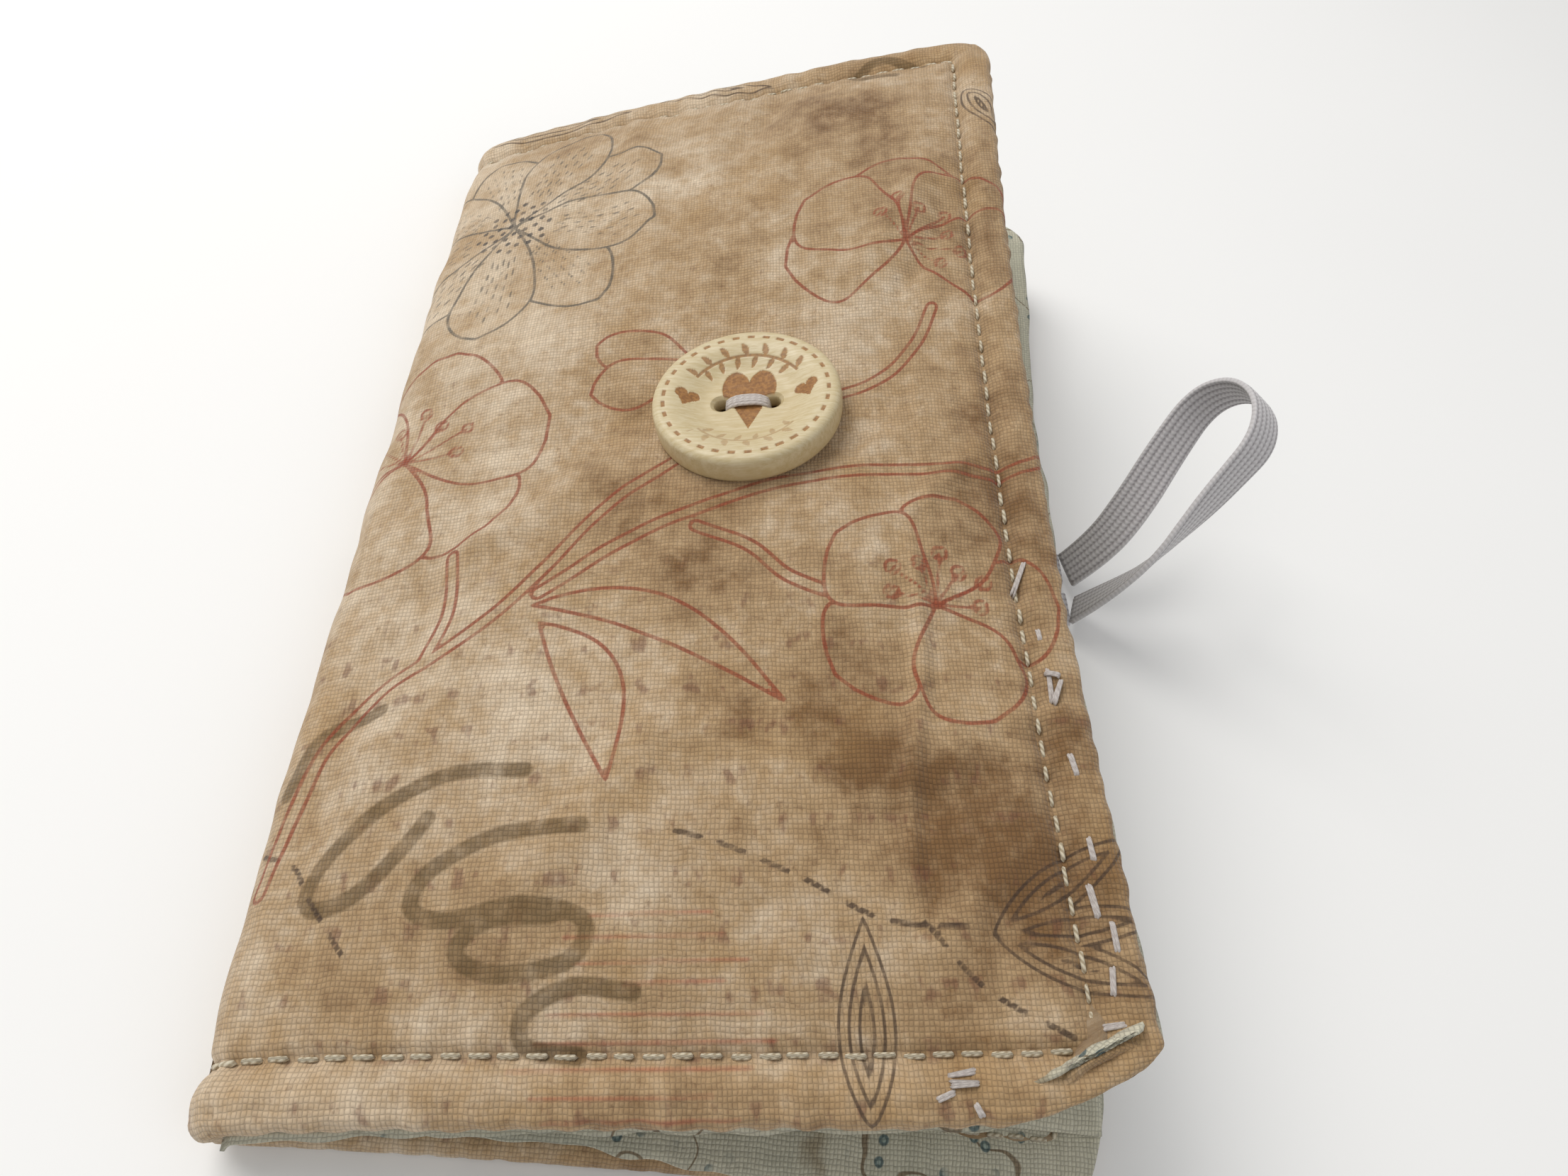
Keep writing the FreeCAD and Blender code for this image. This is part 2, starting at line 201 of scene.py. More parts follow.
BUTTON_U, BUTTON_V = 42.5, LENGTH / 2
FOLD_RISE, FOLD_RUN = 2.228, 6.56  # the front cloth's rise beyond its fold, and the length over which it comes
CROWN = 0.071  # slope at which the front cover starts to bow
TWIST = 19.44  # rise from the near to the far end of its free edge, before the corner's lift
CORNER_LIFT = 5.30  # extra rise of its near free corner
END_DROP, FOLD_DROP = 4.10, 1.2  # how far its ends sink at the free edge, and at the fold
EDGE_BOW = 2.55  # how far the middle of its free edge is drawn in
TUCK_OUT, TUCK_ALONG, TUCK_DOWN = 3.2, 7.5, 1.5  # how its near free corner is tucked in
BACK_REACH, BACK_SLANT, BACK_CURVE, BACK_BULGE = 40.4, 0.035, 0.00085, 0.9  # line of the back's free edge
BACK_CURL = 7.2  # height of the back cover's far free corner
BACK_SKEW = 2.6  # how far the back cover's near free corner pushes out


def front_sheet(u, v):
    """Front cover's outer cloth beyond the spine: crowned, twisted and lifted at its near corner."""
    w, l = u / FRONT_SPAN, v / LENGTH - 0.5
    rise = FOLD_RISE * (1 - np.exp(-u / FOLD_RUN)) + CROWN * (u - u * w) + TWIST * w * l
    corner = np.clip(2 * w - 1, 0, 2) * np.clip(-(l + 0.05) / 0.45, 0, 2)
    drop = END_DROP + (FOLD_DROP - END_DROP) * np.exp(-np.maximum(u, 0) / 12)
    rise = rise + CORNER_LIFT * corner ** 2 - drop * (2 * l) ** 4
    near_button = bump(np.hypot(u - BUTTON_U, v - BUTTON_V), 0, 13)
    rise = rise - near_button * (TWIST * BUTTON_U / FRONT_SPAN / LENGTH) * (v - BUTTON_V)
    out = u - 0.189 * (1 - np.exp(-u / 3.28)) - 0.0025 * (u - 2 * u * w + 4 * u * w * w / 3)
    out = out - EDGE_BOW * w ** 3 * (1 - 4 * l * l)
    slip = -0.5 * np.exp(-np.maximum(u, 0) / 14) * (2 * l) ** 4
    tucked = np.clip((u - 62) / 13 - v / 5.5, 0, 1.2) ** 2
    out, slip, rise = out - TUCK_OUT * tucked, slip + TUCK_ALONG * tucked, rise - TUCK_DOWN * tucked
    x = FRONT_START[0] + out * ACROSS[0] + rise * ABOVE[0]
    z = FRONT_START[1] + out * ACROSS[2] + rise * ABOVE[2]
    return np.stack([x, NEAR + v + slip, z], -1)


def back_edge(v):
    """The case is folded a little askew, so the back cover's free edge isn't parallel to the spine."""
    along = v - LENGTH / 2
    bulge = BACK_BULGE * bump(along, 12, 12)
    return BACK_REACH + BACK_SLANT * along - BACK_CURVE * np.minimum(along, 0) ** 2 + bulge


def back_lift(u, v):
    """The back cover's far free corner curls up off the table."""
    return BACK_CURL * smooth(u, 44, 88) / smooth(BACK_SPAN, 44, 88) * smooth(v, 84, 140)


def back_sheet(u, v):
    """Back cover's outer cloth, flat on the table but for its far free corner."""
    x = BACK_FOLD[0] + u / BACK_SPAN * (back_edge(v) - BACK_FOLD[0])
    skew = BACK_SKEW * np.clip(u / BACK_SPAN, 0, 1) ** 1.5 * smooth(40 - v, 0, 40)
    return np.stack([x, NEAR + v - skew, back_lift(u, v)], -1)


def spine_sheet(t, v):
    """Outer cloth round the spine: t is 0 where the front cover begins and 1 on the table."""
    start = front_sheet(0 * v + FRONT_WRAP_END, v)
    back = front_sheet(0 * v + FRONT_WRAP_END + 0.4, v) - front_sheet(0 * v + FRONT_WRAP_END - 0.4, v)
    leave = -2 * WRAP * unit(back)
    end = back_sheet(0 * v, v)
    arrive = np.array([2 * WRAP, 0, 0])
    t = t[..., None]
    ease = 3 * t**2 - 2 * t**3
    return (1 - ease) * start + (t**3 - 2 * t**2 + t) * leave + ease * end + (t**3 - t**2) * arrive


def outer_sheet(side, u, v):
    """A point of the outer cloth's face, spine included.  Each side ends at the middle of the spine."""
    u, v = np.broadcast_arrays(np.asarray(u, float), np.asarray(v, float))
    if side == "front":
        wrapped = spine_sheet(np.clip((FRONT_WRAP_END - u) / (2 * WRAP), 0, 1), v)
        return np.where((u < FRONT_WRAP_END)[..., None], wrapped, front_sheet(u, v))
    wrapped = spine_sheet(np.clip(1 + u / (2 * WRAP), 0, 1), v)
    return np.where((u < 0)[..., None], wrapped, back_sheet(u, v))


SPINE_U = {"front": FRONT_WRAP_END - WRAP, "back": -WRAP}
SPAN = {"front": FRONT_SPAN, "back": BACK_SPAN}


def cover_point(side, u, v, h):
    """A point h above the middle of a cover's padding, towards its outer face."""
    u, v, h = np.broadcast_arrays(np.asarray(u, float), np.asarray(v, float), np.asarray(h, float))
    step = 0.2
    low = SPINE_U[side]
    across = outer_sheet(side, np.maximum(u, low) + step, v) - outer_sheet(side, np.maximum(u - step, low), v)
    along = outer_sheet(side, u, v + step) - outer_sheet(side, u, v - step)
    normal = unit(np.cross(across, along)) * (1 if side == "front" else -1)
    return outer_sheet(side, u, v) + normal * (h - HALF)[..., None]


def edge_distance(side, u, v):
    """Distance in from a cover's outline, which has rounded free corners."""
    a, b = SPAN[side] - u, np.minimum(v, LENGTH - v)
    corner = (a < CORNER) & (b < CORNER)
    return np.where(corner, CORNER - np.hypot(CORNER - a, CORNER - b), np.minimum(a, b))


def seam_position(side, u, v):
    """Distance along the topstitching, for what repeats with the stitches."""
    a, b = SPAN[side] - u, np.minimum(v, LENGTH - v)
    return np.where(a < b, v, u)


SIM_STEP = 2.5  # spacing of the simulated cloth's points


def simulated_puff():
    """The front cover's cloth, stitched down all round and blown out a little by its filling."""
    u_count, v_count = int(FRONT_SPAN / SIM_STEP) + 1, int(LENGTH / SIM_STEP) + 1
    rng = np.random.default_rng(77)
    u, v = np.meshgrid(np.linspace(0, FRONT_SPAN, u_count), np.linspace(0, LENGTH, v_count), indexing="ij")
    scale = 10 * MM
    start = 0.06 * rng.standard_normal(u.shape) + 0.15 * ripple(u, v, 22, 71)
    mesh = bpy.data.meshes.new("puff")
    points = np.stack([u, v, start], -1).reshape(-1, 3) * scale
    mesh.from_pydata(points.tolist(), [], grid_faces(u_count, v_count))
    cloth = linked("puff", mesh)
    held = cloth.vertex_groups.new(name="held")
    e = edge_distance("front", u, v)
    button = np.hypot(u - BUTTON_U, v - BUTTON_V) < SIM_STEP
    for number in np.flatnonzero(((e < STITCH_INSET + 0.5) | button | (u < 3)).ravel()):
        held.add([int(number)], 1.0, "REPLACE")
    settings = cloth.modifiers.new("Cloth", "CLOTH").settings
    settings.quality = 5
    settings.mass = 0.15
    settings.tension_stiffness = settings.compression_stiffness = 12
    settings.shear_stiffness = 4
    settings.bending_stiffness = 3.0
    settings.vertex_group_mass = "held"
    settings.shrink_min = settings.shrink_max = -0.004
    settings.use_pressure, settings.uniform_pressure_force = True, 0.03
    settings.effector_weights.gravity = 0
    for frame_number in range(1, 26):
        bpy.context.scene.frame_set(frame_number)
    settled = cloth.evaluated_get(bpy.context.evaluated_depsgraph_get()).to_mesh()
    height = np.array([vertex.co.z for vertex in settled.vertices]).reshape(u.shape) / scale
    bpy.context.scene.frame_set(1)
    bpy.data.objects.remove(cloth)
    bpy.data.meshes.remove(mesh)
    return np.tanh(height / 2.2)


def puffed(u, v):
    """The simulated height at any point, smoothly between the simulation's own."""
    rows, columns = PUFF.shape
    a = np.clip(u / FRONT_SPAN * (rows - 1), 0, rows - 1.001)
    b = np.clip(v / LENGTH * (columns - 1), 0, columns - 1.001)
    i, j = a.astype(int), b.astype(int)
    a, b = smooth(a - i, 0, 1), smooth(b - j, 0, 1)
    low = PUFF[i, j] * (1 - b) + PUFF[i, j + 1] * b
    return low * (1 - a) + (PUFF[i + 1, j] * (1 - b) + PUFF[i + 1, j + 1] * b) * a


CREASE_DEPTH = 2.4
# Creases in the front cover: where each starts and stops, half width, and share of CREASE_DEPTH.
CREASES = [
    ((59.4, 50), (57.6, 17), 1.0, 0.34), ((24, 132), (31, 96), 2.4, 0.35), ((47, 131), (40, 112), 2.0, -0.35),
    ((66, 108), (56, 88), 2.2, 0.35), ((68, 99), (60, 84), 1.6, -0.35), ((12, 58), (4, 20), 2.6, -0.3),
    ((30, 64), (12, 50), 2.4, 0.3), ((67, 28), (52, 22), 2.0, -0.3), ((66, 20), (56, 12), 1.8, 0.3),
    ((36, 34), (20, 12), 3.0, 0.28), ((60, 70), (48, 60), 2.2, -0.25), ((68, 62), (58, 54), 1.4, 0.3),
]


def creases(u, v):
    total = 0
    for (u0, v0), (u1, v1), width, height in CREASES:
        long = math.hypot(u1 - u0, v1 - v0)
        along = ((u - u0) * (u1 - u0) + (v - v0) * (v1 - v0)) / long
        aside = ((u - u0) * (v1 - v0) - (v - v0) * (u1 - u0)) / long + 0.8 * np.sin(along / 6)
        ends = smooth(along, -4, 6) * smooth(long - along, -4, 6)
        total = total + CREASE_DEPTH * height * bump(aside, 0, width) * ends
    return total


def relief(side, u, v, e):
    """How far the quilted cloth stands off its smooth sheet: rolled hem, stitched valley, soft filling."""
    along = seam_position(side, u, v)
    near_hem = smooth(20 - v, 0, 14)
    hem = 0.36 * bump(e, 2.6, 1.3) * (1 + 0.35 * ripple(along, e, 7.0, 3))
    uneven = (0.14 + 0.12 * near_hem) * ripple(along, 0.35 * e, 5.2, 4)
    hem = hem + uneven * smooth(e, 0, 2) * bump(e, 2.4, 2.2)
    valley = -0.62 * bump(e, STITCH_INSET, 0.62) - 0.30 * bump(e, STITCH_INSET, 2.1)
    holes = -0.16 * bump(e, STITCH_INSET, 0.5) * np.cos(2 * math.pi * along / STITCH_PITCH)
    puckers = 0.22 * ripple(along, 0.12 * e, 3.4, 5) * bump(e, STITCH_INSET, 2.6)
    filling = 0.36 * smooth(e, STITCH_INSET, 13) + 0.20 * ripple(u, v, 24, 8) * smooth(e, STITCH_INSET, 16)
    total = hem + valley + holes + puckers + filling
    if side == "front":
        reach = np.hypot(u - BUTTON_U, v - BUTTON_V)
        inside = smooth(e, STITCH_INSET - 0.5, STITCH_INSET + 2.5)
        total = total + inside * (puffed(u, v) + creases(u, v) + 0.10 * ripple(u, v, 9, 13))
        total = total - 0.75 * bump(reach, 0, 4.5) - 0.25 * bump(reach, 0, 11)
        gather = [bump(np.hypot(u - FRONT_SPAN + inward, v - near), 0, 1.5) for inward, near, *_ in MENDING]
        return total - 0.22 * np.max(gather, 0)
    return np.minimum(total, 0)


# ---------------------------------------------------------------- padded shells


def graded(start, stop, fine_at):
    """Grid lines GRID apart, and closer beside the stitching."""
    lines = [start]
    while lines[-1] < stop:
        near = min(abs(lines[-1] - place) for place in fine_at) < 1.1
        lines.append(lines[-1] + (0.25 if near else GRID))
    lines = np.array(lines)
    return start + (lines - start) * (stop - start) / (lines[-1] - start)


def cover_grid(side, inset, u_lines, v_lines):
    """Flat grid of a cover, inset from its outline, with its free corners rounded."""
    u, v = np.meshgrid(u_lines, v_lines, indexing="ij")
    radius = max(CORNER - inset, 0.5)
    a = np.clip((u - (SPAN[side] - inset - radius)) / radius, 0, 1)
    mid = LENGTH / 2
    b = np.clip((np.abs(v - mid) - (mid - inset - radius)) / radius, 0, 1)
    corner = (a > 0) & (b > 0)
    u = np.where(corner, SPAN[side] - inset - radius + radius * a * np.sqrt(1 - b * b / 2), u)
    shifted = mid - inset - radius + radius * b * np.sqrt(1 - a * a / 2)
    v = np.where(corner, mid + np.sign(v - mid) * shifted, v)
    return u, v


def rim(array):
    """The near, free and far edges of a grid, as one run."""
    return np.concatenate([array[:, 0], array[-1, 1:-1], array[::-1, -1]])


def rim_outward(side, inset, u, v):
    """Unit direction out of the outline at rim points, in u and v."""
    radius = max(CORNER - inset, 0.5)
    mid = LENGTH / 2
    a = u - (SPAN[side] - inset - radius)
    b = np.abs(v - mid) - (mid - inset - radius)
    direction = np.stack([np.where(a > 1e-6, a, 0), np.where(b > 1e-6, b, 0) * np.sign(v - mid)], -1)
    straight_side = (a > 1e-6) & (b <= 1e-6)
    direction[straight_side] = (1, 0)
    return unit(direction)


RIM_STEPS = 12  # rows of faces round a cover's rolled edge


def padded_shell(side, name, material, inks):
    """Outer cloth over the padding: quilted face, rolled hem and a plain hidden underside."""
    fine = (STITCH_INSET, LENGTH - STITCH_INSET)
    u_lines = graded(SPINE_U[side], SPAN[side] - HALF, (SPAN[side] - STITCH_INSET,))
    v_lines = graded(HALF, LENGTH - HALF, fine)
    u, v = cover_grid(side, HALF, u_lines, v_lines)
    e = edge_distance(side, u, v)
    face = cover_point(side, u, v, HALF + relief(side, u, v, e))
    rows, columns = u.shape
    points = [face.reshape(-1, 3)]
    cloth = [np.stack([u, v, 0 * u], -1).reshape(-1, 3)]
    faces = grid_faces(rows, columns)

    numbers = np.arange(rows * columns).reshape(rows, columns)
    ring = rim(numbers)
    ru, rv = rim(u), rim(v)
    outward = rim_outward(side, HALF, ru, rv)
    along = seam_position(side, ru, rv)
    stand = relief(side, ru, rv, edge_distance(side, ru, rv))
    count = rows * columns
    for k in range(1, RIM_STEPS + 1):
        angle = math.pi * k / RIM_STEPS
        lump = stand * math.cos(angle / 2) ** 2
        lump = lump + 0.13 * math.sin(angle) * ripple(along, 9.0 * k / RIM_STEPS, 4.2, 11)
        if side == "back":
            lump = np.minimum(lump, 0)
        reach = (HALF + lump) * math.sin(angle)
        points.append(cover_point(side, ru + outward[:, 0] * reach, rv + outward[:, 1] * reach,
                                  (HALF + lump) * math.cos(angle)))
        run = HALF * angle
        cloth.append(np.stack([ru + outward[:, 0] * run, rv + outward[:, 1] * run, 0 * ru], -1))
        new_ring = count + np.arange(len(ring))
        faces += quads(np.stack([ring, new_ring], 1))
        ring, count = new_ring, count + len(ring)

    near, far = ring[:rows], ring[-rows:][::-1]
    free = ring[rows - 1:len(ring) - rows + 1]
    inner = np.linspace(0, 1, 12)[1:-1]
    under_v = inner[None, :] * (LENGTH - 2 * HALF) + HALF
    under = cover_point(side, u[:, :1] * 0 + u_lines[:, None], under_v, -HALF + 0 * under_v)
    middle = count + np.arange(rows * len(inner)).reshape(rows, len(inner))
    points.append(under.reshape(-1, 3))
    cloth.append(np.zeros((rows * len(inner), 3)))
    count += rows * len(inner)
    faces += quads(np.concatenate([near[:, None], middle, far[:, None]], 1)[:-1])
    faces += zip_faces(free.tolist(), [near[-1]] + middle[-2].tolist() + [far[-1]])
    faces += [(near[-1], near[-2], middle[-2][0]), (far[-1], middle[-2][-1], far[-2])]
    lip_near = [numbers[0, 0]] + [rows * columns + k * len(ru) for k in range(RIM_STEPS)]
    lip_far = [numbers[0, -1]] + [rows * columns + k * len(ru) + len(ru) - 1 for k in range(RIM_STEPS)]
    inside = lip_near + middle[0].tolist() + lip_far[::-1]
    faces += zip_faces(numbers[0].tolist(), inside[1:-1])
    points, cloth = np.concatenate(points), np.concatenate(cloth)
    values = {label: draw(cloth[:, :2]) for label, draw in inks.items()}
    return mesh_object(name, points, faces, material, cloth=cloth, **values)


def thin_sheet(side, name, material, outline_inset, h, thickness, u_range=None, v_range=None, lift=None):
    """Closed thin cloth under a cover, or on it, from the middle of the spine to near the edge."""
    spacing = 0.7
    u0, u1 = u_range or (SPINE_U[side], SPAN[side])
    v0, v1 = v_range or (0.0, LENGTH)
    u_lines = np.linspace(u0, u1, int((u1 - u0) / spacing))
    v_lines = np.linspace(v0, v1, int((v1 - v0) / spacing))
    if u_range is None:
        u, v = cover_grid(side, 0.0, u_lines, v_lines)
        e = edge_distance(side, u, v)
        inset = outline_inset(u, v) * smooth(10 - e, 0, 10)
        mid = LENGTH / 2
        pull_v = np.where(np.abs(v - mid) > mid - 10, np.sign(mid - v), 0)
        pull_u = np.where(u > SPAN[side] - 10, -1, 0)
        u, v = u + pull_u * inset, v + pull_v * inset
    else:
        u, v = np.meshgrid(u_lines, v_lines, indexing="ij")
        e = np.minimum(np.minimum(u - u0, u1 - u), np.minimum(v - v0, v1 - v))
    offset = lift(u, v, e) if lift else 0
    top = cover_point(side, u, v, h + offset)
    return two_sided(name, top, cover_point(side, u, v, h - thickness + offset), u, v, material)


# ---------------------------------------------------------------- threads and the elastic


def tube(path, radius, sides, first):
    """A round thread along a path: points, faces, and each point's place along and round it."""
    tangent = unit(np.gradient(path, axis=0))
    side = np.cross(tangent[0], (0.31, 0.12, 0.94))
    around = circle(sides)
    run = run_along(path)
    points, strand = [], []
    for place, forward, far in zip(path, tangent, run):
        side = unit(side - forward * np.dot(side, forward))
        other = np.cross(forward, side)
        end = min(far, run[-1] - far)
        size = radius * math.sqrt(max(0.06, 1 - max(0, 1 - end / (1.2 * radius)) ** 2))
        points.append(place + size * (np.cos(around)[:, None] * side + np.sin(around)[:, None] * other))
        strand.append(np.stack([0 * around + far, around, 0 * around + radius], -1))
    return np.concatenate(points), ring_faces(len(path), sides, first), np.concatenate(strand)


def threads(name, paths, radii, material, sides=8):
    """Several threads as one piece."""
    points, faces, strands = [], [], []
    for path, radius in zip(paths, radii):
        more, rings, strand = tube(path, radius, sides, sum(map(len, points)))
        points.append(more)
        faces += rings
        strands.append(strand)
    return mesh_object(name, np.concatenate(points), faces, material, strand=np.concatenate(strands))


def seam_line(side, inset):
    """The topstitching's line on a cover, from the spine round the free corners and back."""
    turn = CORNER - inset
    centre_u = SPAN[side] - CORNER
    arc = np.linspace(0, math.pi / 2, 8)
    near = np.stack([centre_u + turn * np.sin(arc), CORNER - turn * np.cos(arc)], -1)
    far = np.stack([near[::-1, 0], LENGTH - near[::-1, 1]], -1)
    start, stop = (SPINE_U[side], inset), (SPINE_U[side], LENGTH - inset)
    line = np.concatenate([[start], near, far, [stop]])
    return line, run_along(line)


def topstitches(side, name, material, faces_out):
    """Machine stitches round three sides of a cover, on its outer or its lining face."""
    rng = np.random.default_rng(21 if faces_out else 22)
    line, run = seam_line(side, STITCH_INSET)
    paths, radii = [], []
    count = int(run[-1] / STITCH_PITCH)
    for k in range(count):
        middle = (k + 0.5) * run[-1] / count
        half = 0.86 + rng.uniform(-0.08, 0.08)
        t = np.linspace(-1, 1, 9)
        at = np.clip(middle + t * half, 0, run[-1])
        u = np.interp(at, run, line[:, 0]) + rng.uniform(-0.09, 0.09)
        v = np.interp(at, run, line[:, 1]) + rng.uniform(-0.09, 0.09)
        radius = (0.24 if v.mean() < CORNER else 0.19) + rng.uniform(-0.02, 0.03)
        dive = 0.34 * np.abs(t) ** 5
        if faces_out:
            level = relief(side, u, v, edge_distance(side, u, v))
            h = HALF + level.mean() + 0.16 - dive
        else:
            level = lining_relief(u, v, edge_distance(side, u, v))
            h = -HALF - LINING + level.mean() - 0.12 + dive
        if side == "back" and faces_out:
            h = np.minimum(h, HALF - radius)
        paths.append(cover_point(side, u, v, h))
        radii.append(radius)
    return threads(name, paths, radii, material)


def lining_relief(u, v, e):
    """Lining's soft waviness, with a dip along the topstitching; up is towards the padding."""
    dip = 0.38 * bump(e, STITCH_INSET, 0.8)
    return dip + 0.07 * ripple(u, v, 5.5, 31) * smooth(e, 0, 3)


# Mending stitches on the front cover: middle from the free edge and from the near edge, direction in
# degrees, length and layer; layer 1 crosses over layer 0.
MENDING = [
    (4.6, 47.0, 62, 4.4, 1), (3.5, 40.7, 95, 1.4, 0),
    (3.4, 35.4, 87, 3.8, 0), (2.9, 34.6, 66, 2.8, 1), (3.1, 36.2, 166, 1.5, 1),
    (2.7, 27.7, 102, 2.3, 0), (2.6, 20.3, 93, 2.3, 0), (3.3, 16.1, 96, 3.1, 0),
    (2.1, 13.2, 88, 2.7, 0), (3.0, 9.9, 81, 2.5, 0), (3.5, 6.7, 5, 2.2, 0),
    (15.8, 3.7, 9, 2.4, 0), (15.7, 3.0, 1, 2.3, 1), (17.2, 2.2, 23, 1.6, 0), (14.8, 1.2, 117, 1.1, 0),
]


def mending(name, material):
    """Hand-sewn thread along the free edge and at the near hem, a few uneven strands to a stitch."""
    rng = np.random.default_rng(17)
    paths, radii = [], []
    for inward, near, degrees, length, layer in MENDING:
        for strand in (-1, 0, 1):
            direction, aside = heading(degrees + rng.uniform(-4, 4))
            aside = aside * (0.13 * strand + rng.uniform(-0.04, 0.04))
            t = np.linspace(-1, 1, 13)
            reach = t * length / 2 * rng.uniform(0.9, 1.06)
            u = FRONT_SPAN - inward + direction[0] * reach + aside[0]
            v = near + direction[1] * reach + aside[1]
            level = relief("front", u, v, edge_distance("front", u, v))
            level = level.mean() + 0.5 * (level - level.mean())
            h = HALF + level + 0.12 + 0.30 * layer - 0.50 * np.abs(t) ** 6
            paths.append(cover_point("front", u, v, h))
            radii.append(0.13 + rng.uniform(-0.015, 0.02))
    return threads(name, paths, radii, material)


LOOP_RISE = math.radians(62)
# The elastic's route in the loop's plane, in metres: out from the seam, and along the spine.
LOOP_ROUTE = [
    (0.0, 0.0032), (0.0056, 0.0036), (0.0116, 0.0068), (0.0176, 0.0114), (0.0236, 0.0152),
    (0.0284, 0.0137), (0.0306, 0.0090), (0.0289, 0.0041), (0.0239, 0.0019), (0.0179, -0.0006),
    (0.0120, -0.0029), (0.0060, -0.0036), (0.0, -0.0032),
]
ELASTIC_WIDTH, ELASTIC_THICK = 5.0, 0.9
# How far the band has turned from standing across the loop's plane, in degrees, along its length.
BAND_TURN = [(0, 78), (0.1, 62), (0.25, 28), (0.42, 6), (0.58, 2), (0.7, 14), (0.82, 42), (0.92, 60), (1, 72)]


def loop_route():
    """The elastic's line, read from its NURBS spline, in millimetres."""
    origin = JOINT["loop_swing"] * MM
    out = np.array([math.cos(LOOP_RISE), 0, math.sin(LOOP_RISE)])
    curve = bpy.data.curves.new("loop_route", "CURVE")
    curve.dimensions = "3D"
    curve.resolution_u = 16
    spline = curve.splines.new("NURBS")
    spline.points.add(len(LOOP_ROUTE) - 1)
    for point, (p, q) in zip(spline.points, LOOP_ROUTE):
        place = origin + p * out + (q - 0.0005 - origin[1]) * np.array([0, 1, 0])
        point.co = (*place, 1)
    spline.order_u = 3
    spline.use_endpoint_u = True
    guide = linked("loop_route", curve)
    line = bpy.data.meshes.new_from_object(guide)
    points = np.array([vertex.co[:] for vertex in line.vertices]) / MM
    bpy.data.objects.remove(guide)
    bpy.data.curves.remove(curve)
    bpy.data.meshes.remove(line)
    return points


def band_section(sides, width, thick, ribs=0.0):
    """Cross-section of flat elastic: places across its width and through its thickness."""
    around = circle(sides)
    across = np.sign(np.cos(around)) * np.abs(np.cos(around)) ** 0.55
    rib = 1 - ribs + ribs * np.abs(np.cos(across * 3 * math.pi)) ** 0.8
    through = np.sign(np.sin(around)) * np.abs(np.sin(around)) ** 0.45 * rib
    return across * width / 2, through * thick / 2


def elastic_band(name, material):
    """Flat ribbed elastic that turns on its way round the loop, and its middle line."""
    path = loop_route()
    tangent = unit(np.gradient(path, axis=0))
    run = run_along(path)
    plane = np.array([-math.sin(LOOP_RISE), 0, math.cos(LOOP_RISE)])
    turn = np.radians(np.interp(run / run[-1], *zip(*BAND_TURN)))
    kernel = np.hanning(21)
    turn = np.convolve(np.pad(turn, 10, mode="edge"), kernel / kernel.sum(), mode="valid")[:, None]
    wide = np.cos(turn) * plane + np.sin(turn) * np.cross(plane, tangent)
    thick = np.cross(tangent, wide)
    across, through = band_section(96, ELASTIC_WIDTH, ELASTIC_THICK, 0.20)
    points = path[:, None] + wide[:, None] * across[:, None] + thick[:, None] * through[:, None]
    strand = np.stack(np.broadcast_arrays(run[:, None], across, 0.0), -1).reshape(-1, 3)
    return mesh_object(name, points, ring_faces(len(path), len(across)), material, strand=strand), path


def elastic_tails(name, material, low, high):
    """The elastic's two ends, flat in the back cover's seam."""
    x = np.linspace(low[0] + 0.1, high[0] - 0.1, 24)[:, None]
    across, through = band_section(48, ELASTIC_WIDTH - 0.1, ELASTIC_THICK - 0.1)
    z = (low[2] + high[2]) / 2 + through
    points, faces, strands = [], [], []
    for top in (low[1] + ELASTIC_WIDTH, high[1]):
        faces += ring_faces(len(x), len(across), sum(map(len, points)))
        y = top - ELASTIC_WIDTH / 2 + across
        points.append(np.stack(np.broadcast_arrays(x, y, z), -1).reshape(-1, 3))
        strands.append(np.stack(np.broadcast_arrays(x, across, 0.0), -1).reshape(-1, 3))
    return mesh_object(name, np.concatenate(points), faces, material, strand=np.concatenate(strands))


# ---------------------------------------------------------------- the button

BUTTON_RADIUS, BUTTON_HEIGHT = 10.0, 3.4
HOLE_APART = 5.3
DISH_DEPTH = 1.4
SPRIG_RADIUS, LEAF_TURN = 6.5, 0.155  # the sprigs' circle, and the angle from leaf to leaf on it


def heart(x, y, size):
    """True inside a heart about 2 * size wide, with its point down."""
    x, y = np.abs(x) / size, y / size
    lobe = np.hypot(x - 0.47, y - 0.30) < 0.50
    wedge = (x < 0.74 * (y + 0.98)) & (y < 0.12)
    return lobe | wedge | ((x < 0.46) & (y > 0) & (y < 0.3))


def sprig(far, turn, reach):
    """A leafy sprig bent along a circle round the button's middle."""
    stem = np.abs(far - SPRIG_RADIUS) < 0.12
    cell = np.round(turn / LEAF_TURN)
    along = (turn - cell * LEAF_TURN) * SPRIG_RADIUS
    outward = (far - SPRIG_RADIUS) * np.where(cell % 2 == 0, 1, -1)
    blade = ((along - 0.3 * outward) / 0.36) ** 2 + ((outward - 0.72) / 0.62) ** 2 < 1
    return (stem | blade) & (np.abs(turn) < reach)


